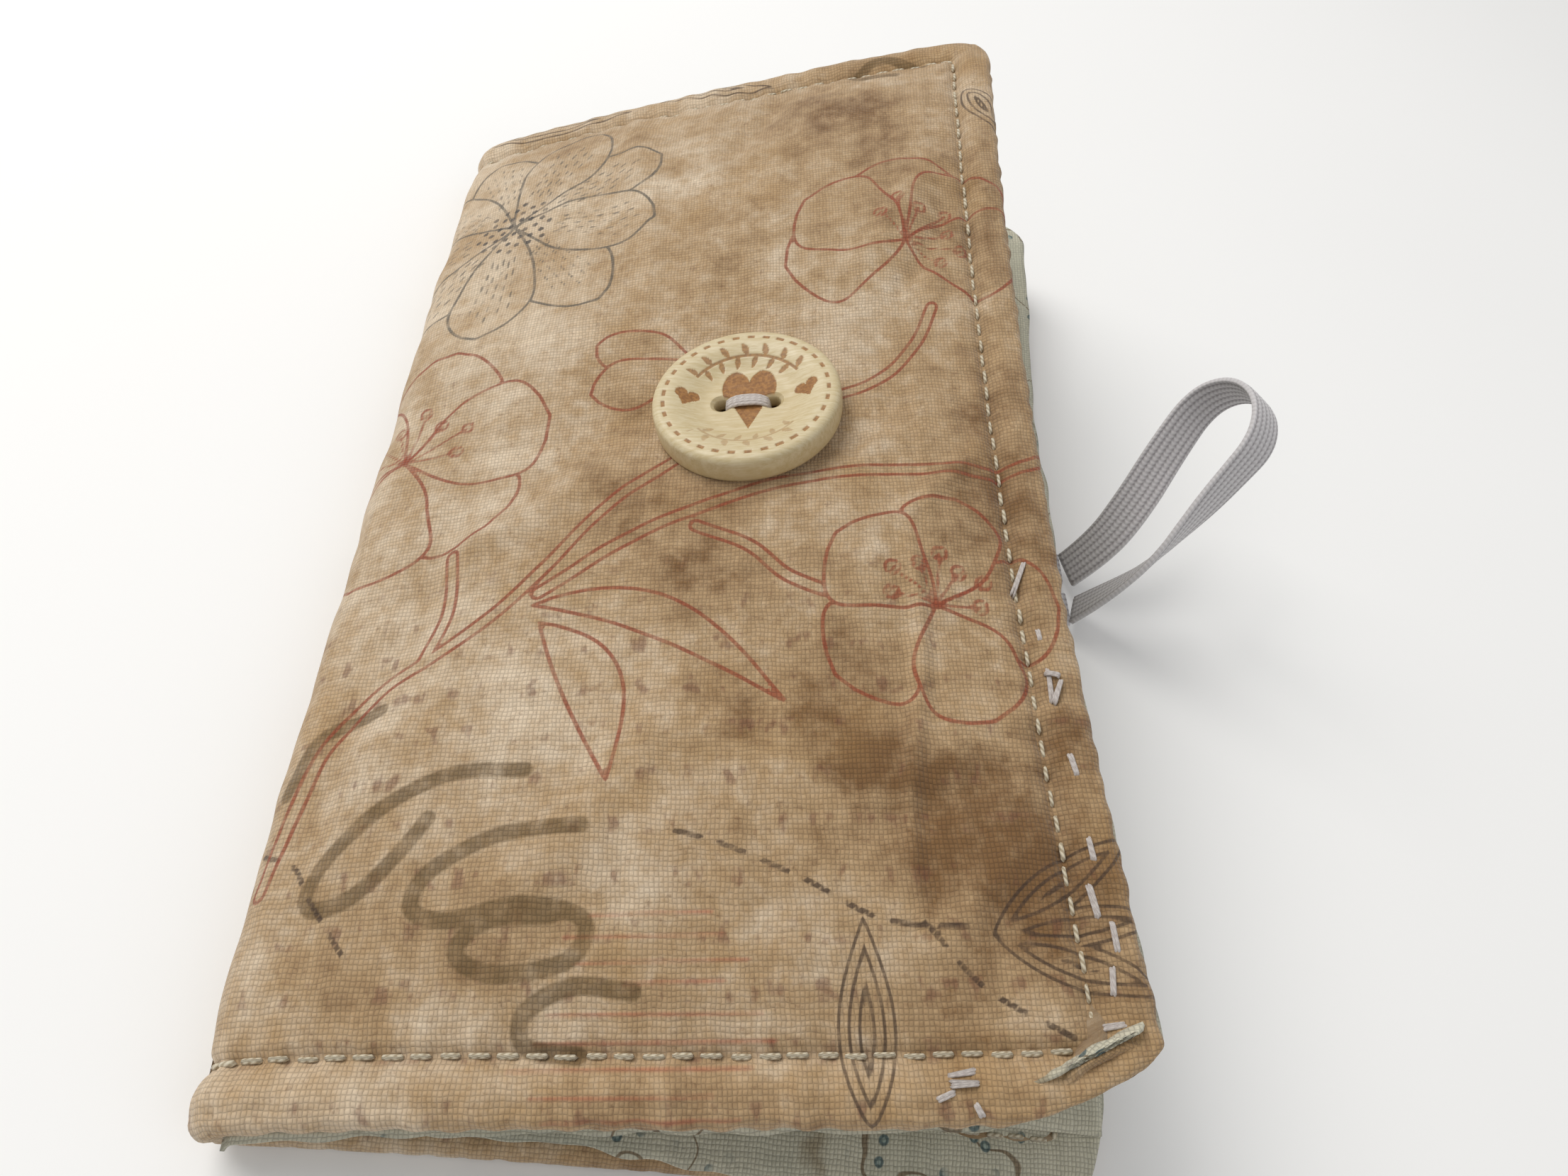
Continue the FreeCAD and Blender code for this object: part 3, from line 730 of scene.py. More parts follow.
def engraving(x, y):
    """1 where the face is burnt: dashed ring, a large and two small hearts, and two leafy sprigs."""
    far, angle = np.hypot(x, y), np.arctan2(y, x)
    dashes = (np.abs(far - 8.75) < 0.17) & (np.cos(angle * 33) > 0.1)
    hearts = heart(x - 0.2, (y - 0.75) / 1.62, 3.0)
    for side in (-1, 1):
        lean = math.radians(14 * side)
        a, b = x - 6.4 * side, y - 0.7
        hearts |= heart(a * math.cos(lean) + b * math.sin(lean), b * math.cos(lean) - a * math.sin(lean), 1.3)
    upper = sprig(far, np.angle(np.exp(1j * (angle - math.pi / 2))), 0.98)
    lower = sprig(far, np.angle(np.exp(1j * (angle + math.pi / 2))), 0.86) * 0.45
    return np.maximum(np.maximum(dashes * 0.9, hearts * 1.0), np.maximum(upper * 0.85, lower))


def turned(name, profile, sides, material, x=0.0):
    """A piece turned from pairs of radius and height, about an axis at x."""
    radius, height = np.array(profile).T[:, :, None]
    around = circle(sides)
    points = np.broadcast_arrays(x + radius * np.cos(around), radius * np.sin(around), height)
    return mesh_object(name, np.stack(points, -1), ring_faces(len(profile), sides), material)


def on_button(place):
    """Points given about the button's middle, where the button is."""
    return JOINT["button_tilt"] + place @ np.stack([ACROSS, (0, 1, 0), ABOVE])


def wooden_button(name, material):
    """Turned button with a dished face, drilled twice and lightly engraved."""
    low, high = -BUTTON_HEIGHT / 2, BUTTON_HEIGHT / 2
    rounding = 0.8
    edge = BUTTON_RADIUS - rounding
    arc = np.linspace(0, math.pi / 2, 9)
    profile = [(0.001, low), (4, low), (8, low)]
    profile += [(edge + rounding * math.sin(a), low + rounding - rounding * math.cos(a)) for a in arc]
    profile += [(BUTTON_RADIUS + 0.04, 0)]
    profile += [(edge + rounding * math.cos(a), high - rounding + rounding * math.sin(a)) for a in arc]
    radii = np.concatenate([np.linspace(edge - 0.1, 0.35, 88), [0.2, 0.001]])
    dish = DISH_DEPTH * (1 - smooth(radii, 4.2, 8.5)) + 0.10 * (1 - smooth(radii, 0, 5.5))
    button = turned(name, profile + list(zip(radii, high - dish)), 360, material)
    for direction in (-1, 1):
        cutter = hole_cutter(direction * HOLE_APART / 2, low, high - DISH_DEPTH - 0.1)
        cut = button.modifiers.new("hole", "BOOLEAN")
        cut.operation, cut.object, cut.solver = "DIFFERENCE", cutter, "EXACT"
        bpy.context.view_layer.objects.active = button
        bpy.ops.object.modifier_apply(modifier=cut.name)
        bpy.data.objects.remove(cutter)
    mesh = button.data
    place = np.array([vertex.co[:] for vertex in mesh.vertices]) / MM
    on_face = smooth(place[:, 2], 0.0, 0.15) * (np.hypot(place[:, 0], place[:, 1]) < 9.3)
    burnt = engraving(place[:, 0], place[:, 1]) * on_face
    place[:, 2] -= 0.07 * burnt
    write_values(mesh, "burnt", burnt)
    write_values(mesh, "turned", place)
    mesh.vertices.foreach_set("co", (on_button(place) * MM).astype(np.float32).ravel())
    mesh.shade_smooth()
    mesh.update()
    return button


def hole_cutter(x, low, high):
    """Drill with flared ends, which leaves each hole's edges rounded."""
    profile = [(1.6, low - 0.6), (1.25, low - 0.02), (0.98, low + 0.16), (0.9, low + 0.4),
               (0.9, high - 0.4), (0.98, high - 0.16), (1.25, high + 0.02), (1.6, high + 0.8)]
    return turned("drill", profile, 40, bpy.data.materials.new("drill"), x)


def button_threads(name, material):
    """Five turns of thread over the button's middle and down through its holes to the cloth."""
    rng = np.random.default_rng(9)
    face = BUTTON_HEIGHT / 2 - DISH_DEPTH - 0.1
    below = -BUTTON_HEIGHT / 2 - 2.6
    paths = []
    for k in range(5):
        y = (k - 2) * 0.30 + rng.uniform(-0.03, 0.03)
        reach = HOLE_APART / 2 - 0.62 + rng.uniform(-0.08, 0.08)
        lift = 0.36 + 0.12 * (1 - abs(k - 2) / 2) + rng.uniform(-0.04, 0.04)
        arc = np.linspace(-1, 1, 15)
        over = np.stack([reach * arc, y * (1 - 0.15 * arc**2), face + lift - 0.55 * np.abs(arc) ** 3.2], -1)
        down = np.array([(reach + 0.12, y * 0.8, face - 0.7), (reach + 0.2, y * 0.6, face - 1.8),
                         (reach, y * 0.5, below)])
        paths.append(on_button(np.concatenate([down[::-1] * (-1, 1, 1), over, down])))
    return threads(name, paths, [0.2] * len(paths), material, sides=10)


# ---------------------------------------------------------------- the print's line drawing
# Every drawing gives, at each point of the cloth, the distance outside a shape (negative inside).

CLEAR = 9.0


def curve_through(points, per_span=10):
    """A smooth line through a few points."""
    points = np.asarray(points, float)
    ends = np.concatenate([[2 * points[0] - points[1]], points, [2 * points[-1] - points[-2]]])
    t = np.linspace(0, 1, per_span, endpoint=False)[:, None]
    spans = []
    for a, b, c, d in zip(ends[:-3], ends[1:-2], ends[2:-1], ends[3:]):
        spans.append(0.5 * (2 * b + (c - a) * t + (2*a - 5*b + 4*c - d) * t**2 + (3*b - a - 3*c + d) * t**3))
    return np.concatenate([*spans, [points[-1]]])


def segment_distance(p, starts, stops):
    """Distance from each point to the nearest of many segments."""
    result = np.full(len(p), CLEAR)
    low, high = np.minimum(starts, stops).min(0) - CLEAR / 3, np.maximum(starts, stops).max(0) + CLEAR / 3
    close = np.all((p > low) & (p < high), axis=1)
    q = p[close][:, None]
    span = stops - starts
    share = np.clip(((q - starts) * span).sum(-1) / np.maximum((span * span).sum(-1), 1e-9), 0, 1)
    result[close] = np.hypot(*np.moveaxis(q - starts - share[..., None] * span, -1, 0)).min(1)
    return result


def stroke(p, line, half_width):
    line = np.asarray(line, float)
    return segment_distance(p, line[:-1], line[1:]) - half_width


def region(p, outline):
    """Signed distance to a closed outline."""
    outline = np.asarray(outline, float)
    after = np.roll(outline, -1, 0)
    distance = segment_distance(p, outline, after)
    inside = np.zeros(len(p), bool)
    close = distance < CLEAR
    q = p[close]
    for a, b in zip(outline, after):
        crosses = (a[1] > q[:, 1]) != (b[1] > q[:, 1])
        slope = (b[0] - a[0]) / (b[1] - a[1] if b[1] != a[1] else 1e-9)
        inside[close] ^= crosses & (q[:, 0] < a[0] + slope * (q[:, 1] - a[1]))
    return np.where(inside, -distance, distance)


def petal(centre, degrees, length, width, wave=0.05):
    """Outline of a petal that is broad towards its tip."""
    t = np.linspace(0, 1, 22)
    half = width / 2 * np.sin(math.pi * np.minimum(t, 0.9999) ** 1.5) ** 0.62
    half = half * (1 + wave * np.sin(9 * t + degrees))
    forward, aside = heading(degrees)
    spine = centre + t[:, None] * length * forward
    return np.concatenate([spine + half[:, None] * aside, (spine - half[:, None] * aside)[::-1]])


def leaf(base, tip, left, right):
    """Outline of a leaf from base to tip, bulging by its two widths."""
    base, tip = np.array(base, float), np.array(tip, float)
    t = np.linspace(0, 1, 20)[:, None]
    aside = np.array([-(tip - base)[1], (tip - base)[0]]) / np.linalg.norm(tip - base)
    axis = base + t * (tip - base)
    swell = np.sin(math.pi * t ** 0.85)
    return np.concatenate([axis + aside * left * swell, (axis - aside * right * swell)[::-1]])


# Rust flowers: centre, petal length and width, and the petals' directions from back to front.
BLOOMS = [
    ((62.0, 92.5), 15.0, 14.0, (35, 145, 90, 190, -12)),
    ((4.0, 66.5), 17.0, 15.5, (78, 12, -45, -100, 150)),
    ((61.5, 43.5), 12.5, 11.5, (75, 140, 0, 215, -70)),
    ((37.0, 76.0), 12.5, 7.0, (162, 196)),
]
LEAVES = [((22.0, 44.6), (46.6, 33.6), 5.6, -1.2), ((23.0, 42.6), (30.8, 26.2), 5.0, 0.6)]
STEMS = [
    [(64.5, 82.0), (62.0, 76.5), (56.6, 71.2), (46.0, 69.0)],
    [(36.0, 62.5), (28.6, 56.0), (22.0, 48.0), (15.0, 41.0), (8.0, 36.5), (3.5, 30.0), (1.0, 18.0)],
    [(22.4, 46.0), (34.5, 53.6), (50.9, 59.0), (69.6, 59.2), (76.5, 61.5)],
    [(37.8, 53.0), (43.4, 50.3), (47.3, 46.6), (53.0, 44.3)],
    [(12.8, 51.5), (13.4, 45.0), (12.0, 39.0)],
]
DAISY = (11.0, 106.4)
GOLDEN_ANGLE = 137.5076
DAISY_PETALS, DAISY_LENGTH, DAISY_WIDTH = 9, 23.0, 11.5
CURLS = [
    [(1.0, 27.0), (3.5, 32.5), (9.0, 34.5)],
    [(23.5, 27.6), (17.0, 27.4), (11.0, 24.4), (6.5, 19.5), (6.2, 16.4), (9.8, 17.0), (13.5, 20.5),
     (15.5, 23.5)],
    [(29.0, 22.3), (22.0, 21.8), (16.5, 19.0), (15.2, 16.0), (18.5, 14.9), (25.0, 16.0), (29.6, 14.8),
     (28.5, 11.8), (22.5, 10.8), (19.3, 12.5), (22.0, 14.8), (27.0, 15.2)],
    [(33.7, 9.5), (29.0, 9.9), (25.2, 8.0), (25.4, 5.6), (29.5, 5.0)],
    [(66.0, 130.0), (60.0, 133.0), (56.0, 129.5), (62.0, 128.0)],
]
TRAILS = [
    [(0.0, 21.6), (3.8, 20.1), (6.0, 17.2), (9.9, 12.5)],
    [(36.8, 22.0), (40.6, 21.0), (47.2, 18.3), (54.3, 14.8), (63.3, 14.0)],
    [(57.5, 14.5), (62.0, 9.5), (70.0, 5.0)],
]
WINGS = [
    ((63.0, 13.6), (76.5, 21.5), 1.9, 1.6), ((63.0, 13.6), (78.5, 14.8), 1.5, 1.5),
    ((63.0, 13.6), (77.5, 8.6), 1.6, 1.9), ((52.0, 0.0), (52.4, 15.0), 2.3, 2.2),
    ((2.0, 134.0), (24.0, 133.5), 1.6, 1.5), ((28.0, 134.5), (45.0, 132.0), 1.9, 0.8),
    ((71.0, 122.0), (76.0, 112.0), 2.0, 2.0),
]
RULED = [(15.2, 30, 40), (13.5, 28, 41), (11.6, 29, 43), (10.1, 33, 41), (7.8, 27, 44), (5.8, 26, 45),
         (3.9, 24, 43), (2.0, 26, 40), (0.4, 27, 42)]
STAINS = [(34, 57, 9, 5), (39, 48, 7, 4), (56, 119, 8, 6), (66, 20, 8, 9), (57, 28, 9, 7), (12, 12, 10, 6),
          (70, 60, 4, 14)]


def behind(drawing, layer, p, distance):
    """What still shows of a shape that lies behind the nearer layers of a drawing."""
    return np.max([distance] + [-drawing(nearer)(p) for nearer in range(layer)], 0)


def bloom_layer(layer):
    """Every third petal and any leaf of the same layer, cut off where a nearer layer covers them."""
    shapes = [petal(centre, degrees, length, width, 0.09) for centre, length, width, directions in BLOOMS
              for k, degrees in enumerate(directions[::-1]) if k % 3 == layer]
    shapes += [leaf(*shape) for k, shape in enumerate(LEAVES) if k == layer]
    return lambda p: behind(bloom_layer, layer, p, np.min([region(p, shape) for shape in shapes], 0))


def stems(p):
    return behind(bloom_layer, 3, p, np.min([stroke(p, curve_through(points), 0.62) for points in STEMS], 0))


def stamens(p):
    """Threads with a small ring at the end, fanned over each rust flower."""
    marks = []
    for centre, length, _, directions in BLOOMS[:3]:
        for k in range(7):
            end = centre + length * (0.36 + 0.10 * (k % 2)) * heading(directions[0] - 75 + 27 * k)[0]
            marks += [stroke(p, [centre, end], 0.17), np.abs(np.hypot(*(p - end).T) - 0.75) - 0.18]
    return np.min(marks, 0)


def daisy_layer(layer):
    """Every second petal of the daisy, or its last one, cut off where a nearer layer covers it."""
    shapes = [petal(DAISY, 66 - 360 / DAISY_PETALS * k, DAISY_LENGTH * (1 - 0.06 * (k % 3)), DAISY_WIDTH)
              for k in range(DAISY_PETALS) if (2 if k == DAISY_PETALS - 1 else k % 2) == layer]
    return lambda p: behind(daisy_layer, layer, p, np.min([region(p, shape) for shape in shapes], 0))


def daisy_dashes(p):
    """Short dashes along the daisy's petals."""
    dashes = []
    for k in range(DAISY_PETALS):
        forward, aside = heading(66 - 360 / DAISY_PETALS * k)
        for row in range(-2, 3):
            for n in range(7):
                far = 6.5 + 2.2 * n + 0.7 * (row % 2)
                if far < DAISY_LENGTH - 4 - abs(row):
                    at = DAISY + far * forward + row * (0.35 + 0.065 * far) * aside
                    dashes.append((at, at + 1.0 * forward))
    return segment_distance(p, *np.array(dashes).transpose(1, 0, 2)) - 0.17


def daisy_dots(p):
    """Dots that spiral out from the daisy's middle."""
    dots = [DAISY + 0.86 * math.sqrt(k) * heading(GOLDEN_ANGLE * k)[0] for k in range(1, 40)]
    return np.min([np.hypot(*(p - dot).T) for dot in dots], 0) - 0.42


def curls(p):
    return np.min([stroke(p, curve_through(points), 0.7) for points in CURLS], 0)


def trails(p):
    """Dashed lines."""
    dashes = []
    for points in TRAILS:
        line = curve_through(points)
        run = run_along(line)
        for start in np.arange(0, run[-1] - 1, 3.9):
            at = np.linspace(start, min(start + 2.3, run[-1]), 4)
            dashes.append(stroke(p, np.stack([np.interp(at, run, axis) for axis in line.T], -1), 0.24))
    return np.min(dashes, 0)


def wings(p):
    return np.min([region(p, leaf(*shape)) for shape in WINGS], 0)


def ruled(p):
    return np.min([stroke(p, [(start, v), (stop, v + 0.3)], 0.16) for v, start, stop in RULED], 0)


def stains(p):
    """Darker clouds dyed into the cloth, 0 to 1."""
    clouds = [np.exp(-(((p[:, 0] - u) / a) ** 2) - ((p[:, 1] - v) / b) ** 2) for u, v, a, b in STAINS]
    return np.clip(np.sum(clouds, 0), 0, 1)


INKS = {
    "stem": stems, "stamen": stamens, "dash": daisy_dashes, "dot": daisy_dots, "curl": curls, "trail": trails,
    "wing": wings, "ruled": ruled, "stain": stains,
}
for layer in range(3):
    INKS[f"bloom_{layer}"], INKS[f"daisy_{layer}"] = bloom_layer(layer), daisy_layer(layer)


def mirrored(draw):
    """The same print as it falls on the back cover."""
    return lambda p: draw(np.stack([72.0 - p[:, 0], LENGTH - p[:, 1]], -1))


# ---------------------------------------------------------------- materials


def rgb(red, green, blue):
    """Linear colour from 0 to 255 sRGB values."""
    parts = np.array([red, green, blue]) / 255
    linear = np.where(parts <= 0.04045, parts / 12.92, ((parts + 0.055) / 1.055) ** 2.4)
    return (*linear.tolist(), 1.0)


class Value:
    """A number that a material's nodes work out.  Arithmetic on it adds the nodes that do it."""

    def __init__(self, paint, socket):
        self.paint, self.socket = paint, socket

    def __add__(self, other):
        return self.paint.math("ADD", self, other)

    def __sub__(self, other):
        return self.paint.math("SUBTRACT", self, other)

    def __rsub__(self, other):
        return self.paint.math("SUBTRACT", other, self)

    def __mul__(self, other):
        return self.paint.math("MULTIPLY", self, other)

    def __truediv__(self, other):
        return self.paint.math("DIVIDE", self, other)

    def __pow__(self, other):
        return self.paint.math("POWER", self, other)

    def __abs__(self):
        return self.paint.math("ABSOLUTE", self)


class Paint:
    """Shorthand for building one material's nodes."""

    def __init__(self, name, **sockets):
        self.material = bpy.data.materials.new(name)
        self.material.use_nodes = True
        self.tree = self.material.node_tree
        self.shader = self.tree.nodes["Principled BSDF"]
        for label, value in sockets.items():
            self.shader.inputs[label.replace("_", " ")].default_value = value

    def node(self, kind, *inputs, **settings):
        made = self.tree.nodes.new("ShaderNode" + kind)
        for label, value in settings.items():
            setattr(made, label, value)
        for place, value in enumerate(inputs):
            self.connect(made.inputs[place], value)
        return made

    def connect(self, socket, value):
        value = getattr(value, "socket", value)
        if isinstance(value, bpy.types.NodeSocket):
            self.tree.links.new(value, socket)
        elif value is not None:
            socket.default_value = value

    def math(self, operation, *inputs):
        return Value(self, self.node("Math", *inputs, operation=operation).outputs[0])

    def sine(self, value, wavelength):
        return self.math("SINE", value * (2 * math.pi / wavelength))

    def vector(self, operation, a, b):
        return self.node("VectorMath", a, b, operation=operation).outputs[0]

    def attribute(self, name, output="Fac"):
        return Value(self, self.node("Attribute", attribute_name=name).outputs[output])

    def split(self, vector):
        return [Value(self, part) for part in self.node("SeparateXYZ", vector).outputs]

    def noise(self, vector, scale, detail=2.0, roughness=0.5, shift=None, stretch=None):
        """Noise on a vector, which may be shifted or stretched first."""
        if shift:
            vector = self.vector("ADD", vector, shift)
        if stretch:
            vector = self.vector("MULTIPLY", vector, stretch)
        return Value(self, self.node("TexNoise", vector, None, scale, detail, roughness).outputs[0])

    def between(self, value, low, high, to_low=0.0, to_high=1.0):
        made = self.node("MapRange", value, low, high, to_low, to_high, interpolation_type="SMOOTHSTEP")
        return Value(self, made.outputs[0])

    def mix(self, factor, a, b, blend="MIX"):
        made = self.node("Mix", data_type="RGBA", blend_type=blend)
        for place, value in ((0, factor), (6, a), (7, b)):
            self.connect(made.inputs[place], value)
        return made.outputs[2]

    def shaded(self, colour, *factors):
        """A colour times some numbers."""
        for factor in factors:
            grey = self.node("CombineColor", factor, factor, factor).outputs[0]
            colour = self.mix(1.0, colour, grey, "MULTIPLY")
        return colour

    def finish(self, colour, height, depth, roughness=None, strength=1.0):
        """depth is the bump's height in millimetres."""
        self.connect(self.shader.inputs["Base Color"], colour)
        self.connect(self.shader.inputs["Roughness"], roughness)
        made = self.tree.nodes.new("ShaderNodeBump")
        for label, value in (("Strength", strength), ("Distance", depth * MM), ("Height", height)):
            self.connect(made.inputs[label], value)
        self.connect(self.shader.inputs["Normal"], made.outputs[0])
        return self.material


def weave(paint, cloth, pitches):
    """Plain weave: height of the threads, and a random shade for each thread."""
    wander = paint.node("TexNoise", cloth, None, 0.35, 2.0).outputs["Color"]
    places = paint.split(paint.vector("ADD", cloth, paint.vector("MULTIPLY", wander, (0.55, 0.55, 0))))[:2]
    a, b = (paint.sine(place, 2 * pitch) for place, pitch in zip(places, pitches))
    over = paint.math("GREATER_THAN", a * b, 0.0)
    height = abs(a) ** (over * 0.55 + 0.35) * abs(b) ** (over * -0.55 + 0.90)
    numbers = [paint.math("FLOOR", place / pitch) for place, pitch in zip(places, pitches)]
    thread_u, thread_v = (paint.node("TexWhiteNoise", None, number, noise_dimensions="1D").outputs[0]
                          for number in numbers)
    return height, over * thread_u + (1.0 - over) * thread_v


def weave_hollow_shade(paint, height):
    """Painted shade in the hollows between the threads: darker where the weave lies low."""
    return paint.between(height, 0.05, 0.75, 0.74, 1.0)


def outline(paint, names, half_width, softness=0.14):
    """1 on the outlines of shapes held as distances."""
    nearest = abs(paint.attribute(names[0]))
    for name in names[1:]:
        nearest = paint.math("MINIMUM", nearest, abs(paint.attribute(name)))
    return paint.between(nearest, half_width, half_width + softness, 1.0, 0.0)


def inked(paint, name, softness=0.16):
    """1 inside a drawn stroke."""
    return paint.between(paint.attribute(name), -softness / 2, softness / 2, 1.0, 0.0)


def print_lines(paint, colour, cloth):
    """The drawing, whose ink fades in patches."""
    patchy = paint.between(paint.noise(cloth, 0.5), 0.3, 0.6, 0.62, 1.0)
    rust, slate, dark = rgb(146, 72, 48), rgb(88, 84, 76), rgb(72, 56, 46)
    wing = paint.attribute("wing")
    fan = paint.between(paint.math("PINGPONG", wing, 0.42), 0.07, 0.2, 1.0, 0.0)
    fan = fan * paint.between(wing, 0.1, 0.2, 1.0, 0.0)
    for mask, amount, ink in (
        (inked(paint, "ruled", 0.3), 0.5, rgb(170, 78, 56)),
        (inked(paint, "curl", 0.36), 0.74, rgb(104, 82, 50)),
        (fan, 0.78, dark),
        (inked(paint, "trail"), 0.85, dark),
        (outline(paint, ("daisy_0", "daisy_1", "daisy_2"), 0.12), 0.8, slate),
        (inked(paint, "dash"), 0.7, slate),
        (inked(paint, "dot"), 0.86, rgb(70, 66, 64)),
        (outline(paint, ("bloom_0", "bloom_1", "bloom_2", "stem"), 0.12), 0.84, rust),
        (inked(paint, "stamen"), 0.78, rust),
    ):
        colour = paint.mix(mask * patchy * amount, colour, ink)
    return colour


def printed_cotton():
    """Tan cotton, mottled and speckled, with the print on it, and painted shade darker towards the free edge.
    """
    paint = Paint("printed_cotton", Roughness=0.88, Sheen_Weight=0.18, Sheen_Roughness=0.5,
                  Specular_IOR_Level=0.22)
    cloth = paint.attribute("cloth", "Vector")
    height, shade = weave(paint, cloth, (0.39, 0.43))
    u, v, _ = paint.split(cloth)
    tone = paint.noise(cloth, 0.045, 4.0, 0.6) * 0.85
    tone += paint.noise(cloth, 0.16, 4.0, 0.62, shift=(31.0, 9.0, 0.0)) * 0.75
    tone += paint.noise(cloth, 0.6, 4.0, 0.65) * 0.45 + paint.attribute("stain") * 0.22
    # Painted shade: the u term makes the cloth lighter by the spine and darker towards the free edge, as the
    # light falls; the v term makes it a little darker towards the near edge.
    tone += paint.between(v, 10.0, 118.0, 0.04, 0.0) + paint.between(u, 0.0, 70.0, -0.31, -0.14)
    colour = paint.mix(paint.between(tone, 0.50, 0.94), rgb(218, 199, 173), rgb(180, 151, 114))
    colour = paint.mix(paint.between(tone, 0.84, 1.24), colour, rgb(124, 92, 58))
    ochre = paint.noise(cloth, 0.07, 3.0, shift=(5.0, 77.0, 0.0))
    colour = paint.mix(paint.between(ochre, 0.52, 0.74, 0.0, 0.34), colour, rgb(176, 140, 90))
    speck = paint.noise(cloth, 1.1, 3.0, 0.7)
    colour = paint.mix(paint.between(speck, 0.54, 0.76, 0.0, 0.42), colour, rgb(112, 80, 56))
    smudge = paint.between(paint.noise(cloth, 1.0, 2.0, 0.55, stretch=(0.62, 0.36, 1.0)), 0.54, 0.68)
    smudge = smudge * paint.between(paint.sine(v, 4.3), -0.1, 0.7) * paint.between(v, 40.0, 54.0, 0.5, 0.0)
    colour = print_lines(paint, paint.mix(smudge, colour, rgb(112, 70, 54)), cloth)
    # Painted shade in the weave's hollows, times a random tone for each thread.
    colour = paint.shaded(colour, weave_hollow_shade(paint, height), paint.between(shade, 0.0, 1.0, 0.93, 1.05))
    return paint.finish(colour, paint.noise(cloth, 9.0) * 0.3 + height, 0.075, strength=0.8)


def mint_cotton():
    """Pale cotton with twigs and small blossoms beside them."""
    paint = Paint("mint_cotton", Roughness=0.86, Sheen_Weight=0.15, Sheen_Roughness=0.5,
                  Specular_IOR_Level=0.22)
    cloth = paint.attribute("cloth", "Vector")
    height, shade = weave(paint, cloth, (0.39, 0.41))
    tone = paint.noise(cloth, 0.06, 3.0)
    colour = paint.mix(paint.between(tone, 0.35, 0.7), rgb(208, 203, 182), rgb(190, 188, 168))
    twig = abs(paint.noise(cloth, 0.085, 2.0, 0.35) - 0.5)
    keep = paint.between(paint.noise(cloth, 0.05, 1.0, shift=(40.0, 3.0, 0.0)), 0.44, 0.5)
    line = paint.between(twig, 0.003, 0.007, 1.0, 0.0) * keep
    colour = paint.mix(line * 0.8, colour, rgb(118, 96, 68))
    cell = paint.node("TexVoronoi", cloth, None, 0.34, feature="F1", voronoi_dimensions="2D")
    far = paint.noise(cloth, 0.8) * 0.12 + cell.outputs["Distance"]
    course = paint.noise(cloth, 0.085, 1.0)
    near_twig = paint.between(course, 0.40, 0.46) * paint.between(course, 0.54, 0.60, 1.0, 0.0)
    blossom = paint.between(far, 0.20, 0.25, 1.0, 0.0) * near_twig * keep
    petals = paint.mix(paint.between(far, 0.10, 0.16), rgb(150, 168, 162), rgb(72, 98, 102))
    colour = paint.mix(blossom * 0.85, colour, petals)
    blot = paint.between(paint.noise(cloth, 0.11, 3.0, shift=(0.0, 60.0, 0.0)), 0.62, 0.70, 0.0, 0.6)
    colour = paint.mix(blot, colour, rgb(128, 104, 66))
    # Painted shade in the weave's hollows, times a random tone for each thread.
    colour = paint.shaded(colour, weave_hollow_shade(paint, height), paint.between(shade, 0.0, 1.0, 0.92, 1.05))
    return paint.finish(colour, height, 0.08, strength=0.8)


def sewing_thread(name, light, dark, gloss=0.55, twist=0.6):
    """Spun thread: plies that wind round it, and loose fibres."""
    paint = Paint(name, Roughness=gloss, Sheen_Weight=0.2, Specular_IOR_Level=0.4)
    strand = paint.attribute("strand", "Vector")
    along, around, _ = paint.split(strand)
    lay = along * (2 * math.pi / 0.62) + around * 2.0
    ply = paint.math("SINE", lay) * 0.5 + 0.5
    # Painted shade: the colour follows the plies' height, darker in the grooves between them; the noise adds
    # the loose fibres.
    tone = paint.noise(strand, 6.0, 3.0, 0.6) * (1.1 - twist) + ply * twist
    return paint.finish(paint.mix(paint.between(tone, 0.15, 0.8), dark, light), tone, 0.08)


def elastic():
    """Ribbed elastic with a knit that runs across its ribs."""
    paint = Paint("elastic", Roughness=0.62, Sheen_Weight=0.3, Specular_IOR_Level=0.35)
    strand = paint.attribute("strand", "Vector")
    along, across, _ = paint.split(strand)
    rib = abs(paint.math("COSINE", across * (6 * math.pi / ELASTIC_WIDTH)))
    knit = paint.math("SINE", along * (2 * math.pi / 0.55) + rib * 2.6)
    # Painted shade: the tone follows the ribs' height, so the grooves between the ribs come out darker; the
    # knit and the noise add texture.
    tone = knit * 0.14 + rib * 0.55 + paint.noise(strand, 1.0, 3.0, stretch=(2.0, 9.0, 1.0)) * 0.35
    colour = paint.mix(paint.between(tone, 0.0, 0.85), rgb(150, 145, 147), rgb(206, 203, 204))
    return paint.finish(colour, tone, 0.10)


def boxwood():
    """Pale turned wood, burnt where it is engraved."""
    paint = Paint("boxwood", Specular_IOR_Level=0.45, Coat_Weight=0.15, Coat_Roughness=0.4)
    place = paint.attribute("turned", "Vector")
    burnt = paint.attribute("burnt")
    grain = paint.noise(place, 1.0, 4.0, 0.6, stretch=(0.35, 3.2, 1.2))
    tone = paint.noise(place, 1.0, stretch=(1.2, 11.0, 5.0)) * 0.35 + grain * 0.8
    colour = paint.mix(paint.between(tone, 0.35, 0.8), rgb(212, 198, 164), rgb(192, 173, 130))
    _, _, level = paint.split(place)
    colour = paint.mix(paint.between(level, -1.7, 1.3, 0.6, 0.0), colour, rgb(190, 164, 112))
    scorch = paint.between(paint.noise(place, 3.0, 3.0), 0.3, 0.7)
    brown = paint.mix(scorch, rgb(126, 80, 36), rgb(162, 112, 56))
    colour = paint.mix(burnt * 0.95, colour, brown)
    rough = burnt * 0.25 + paint.between(grain, 0.3, 0.7, 0.40, 0.55)
    return paint.finish(colour, tone, 0.03, roughness=rough)


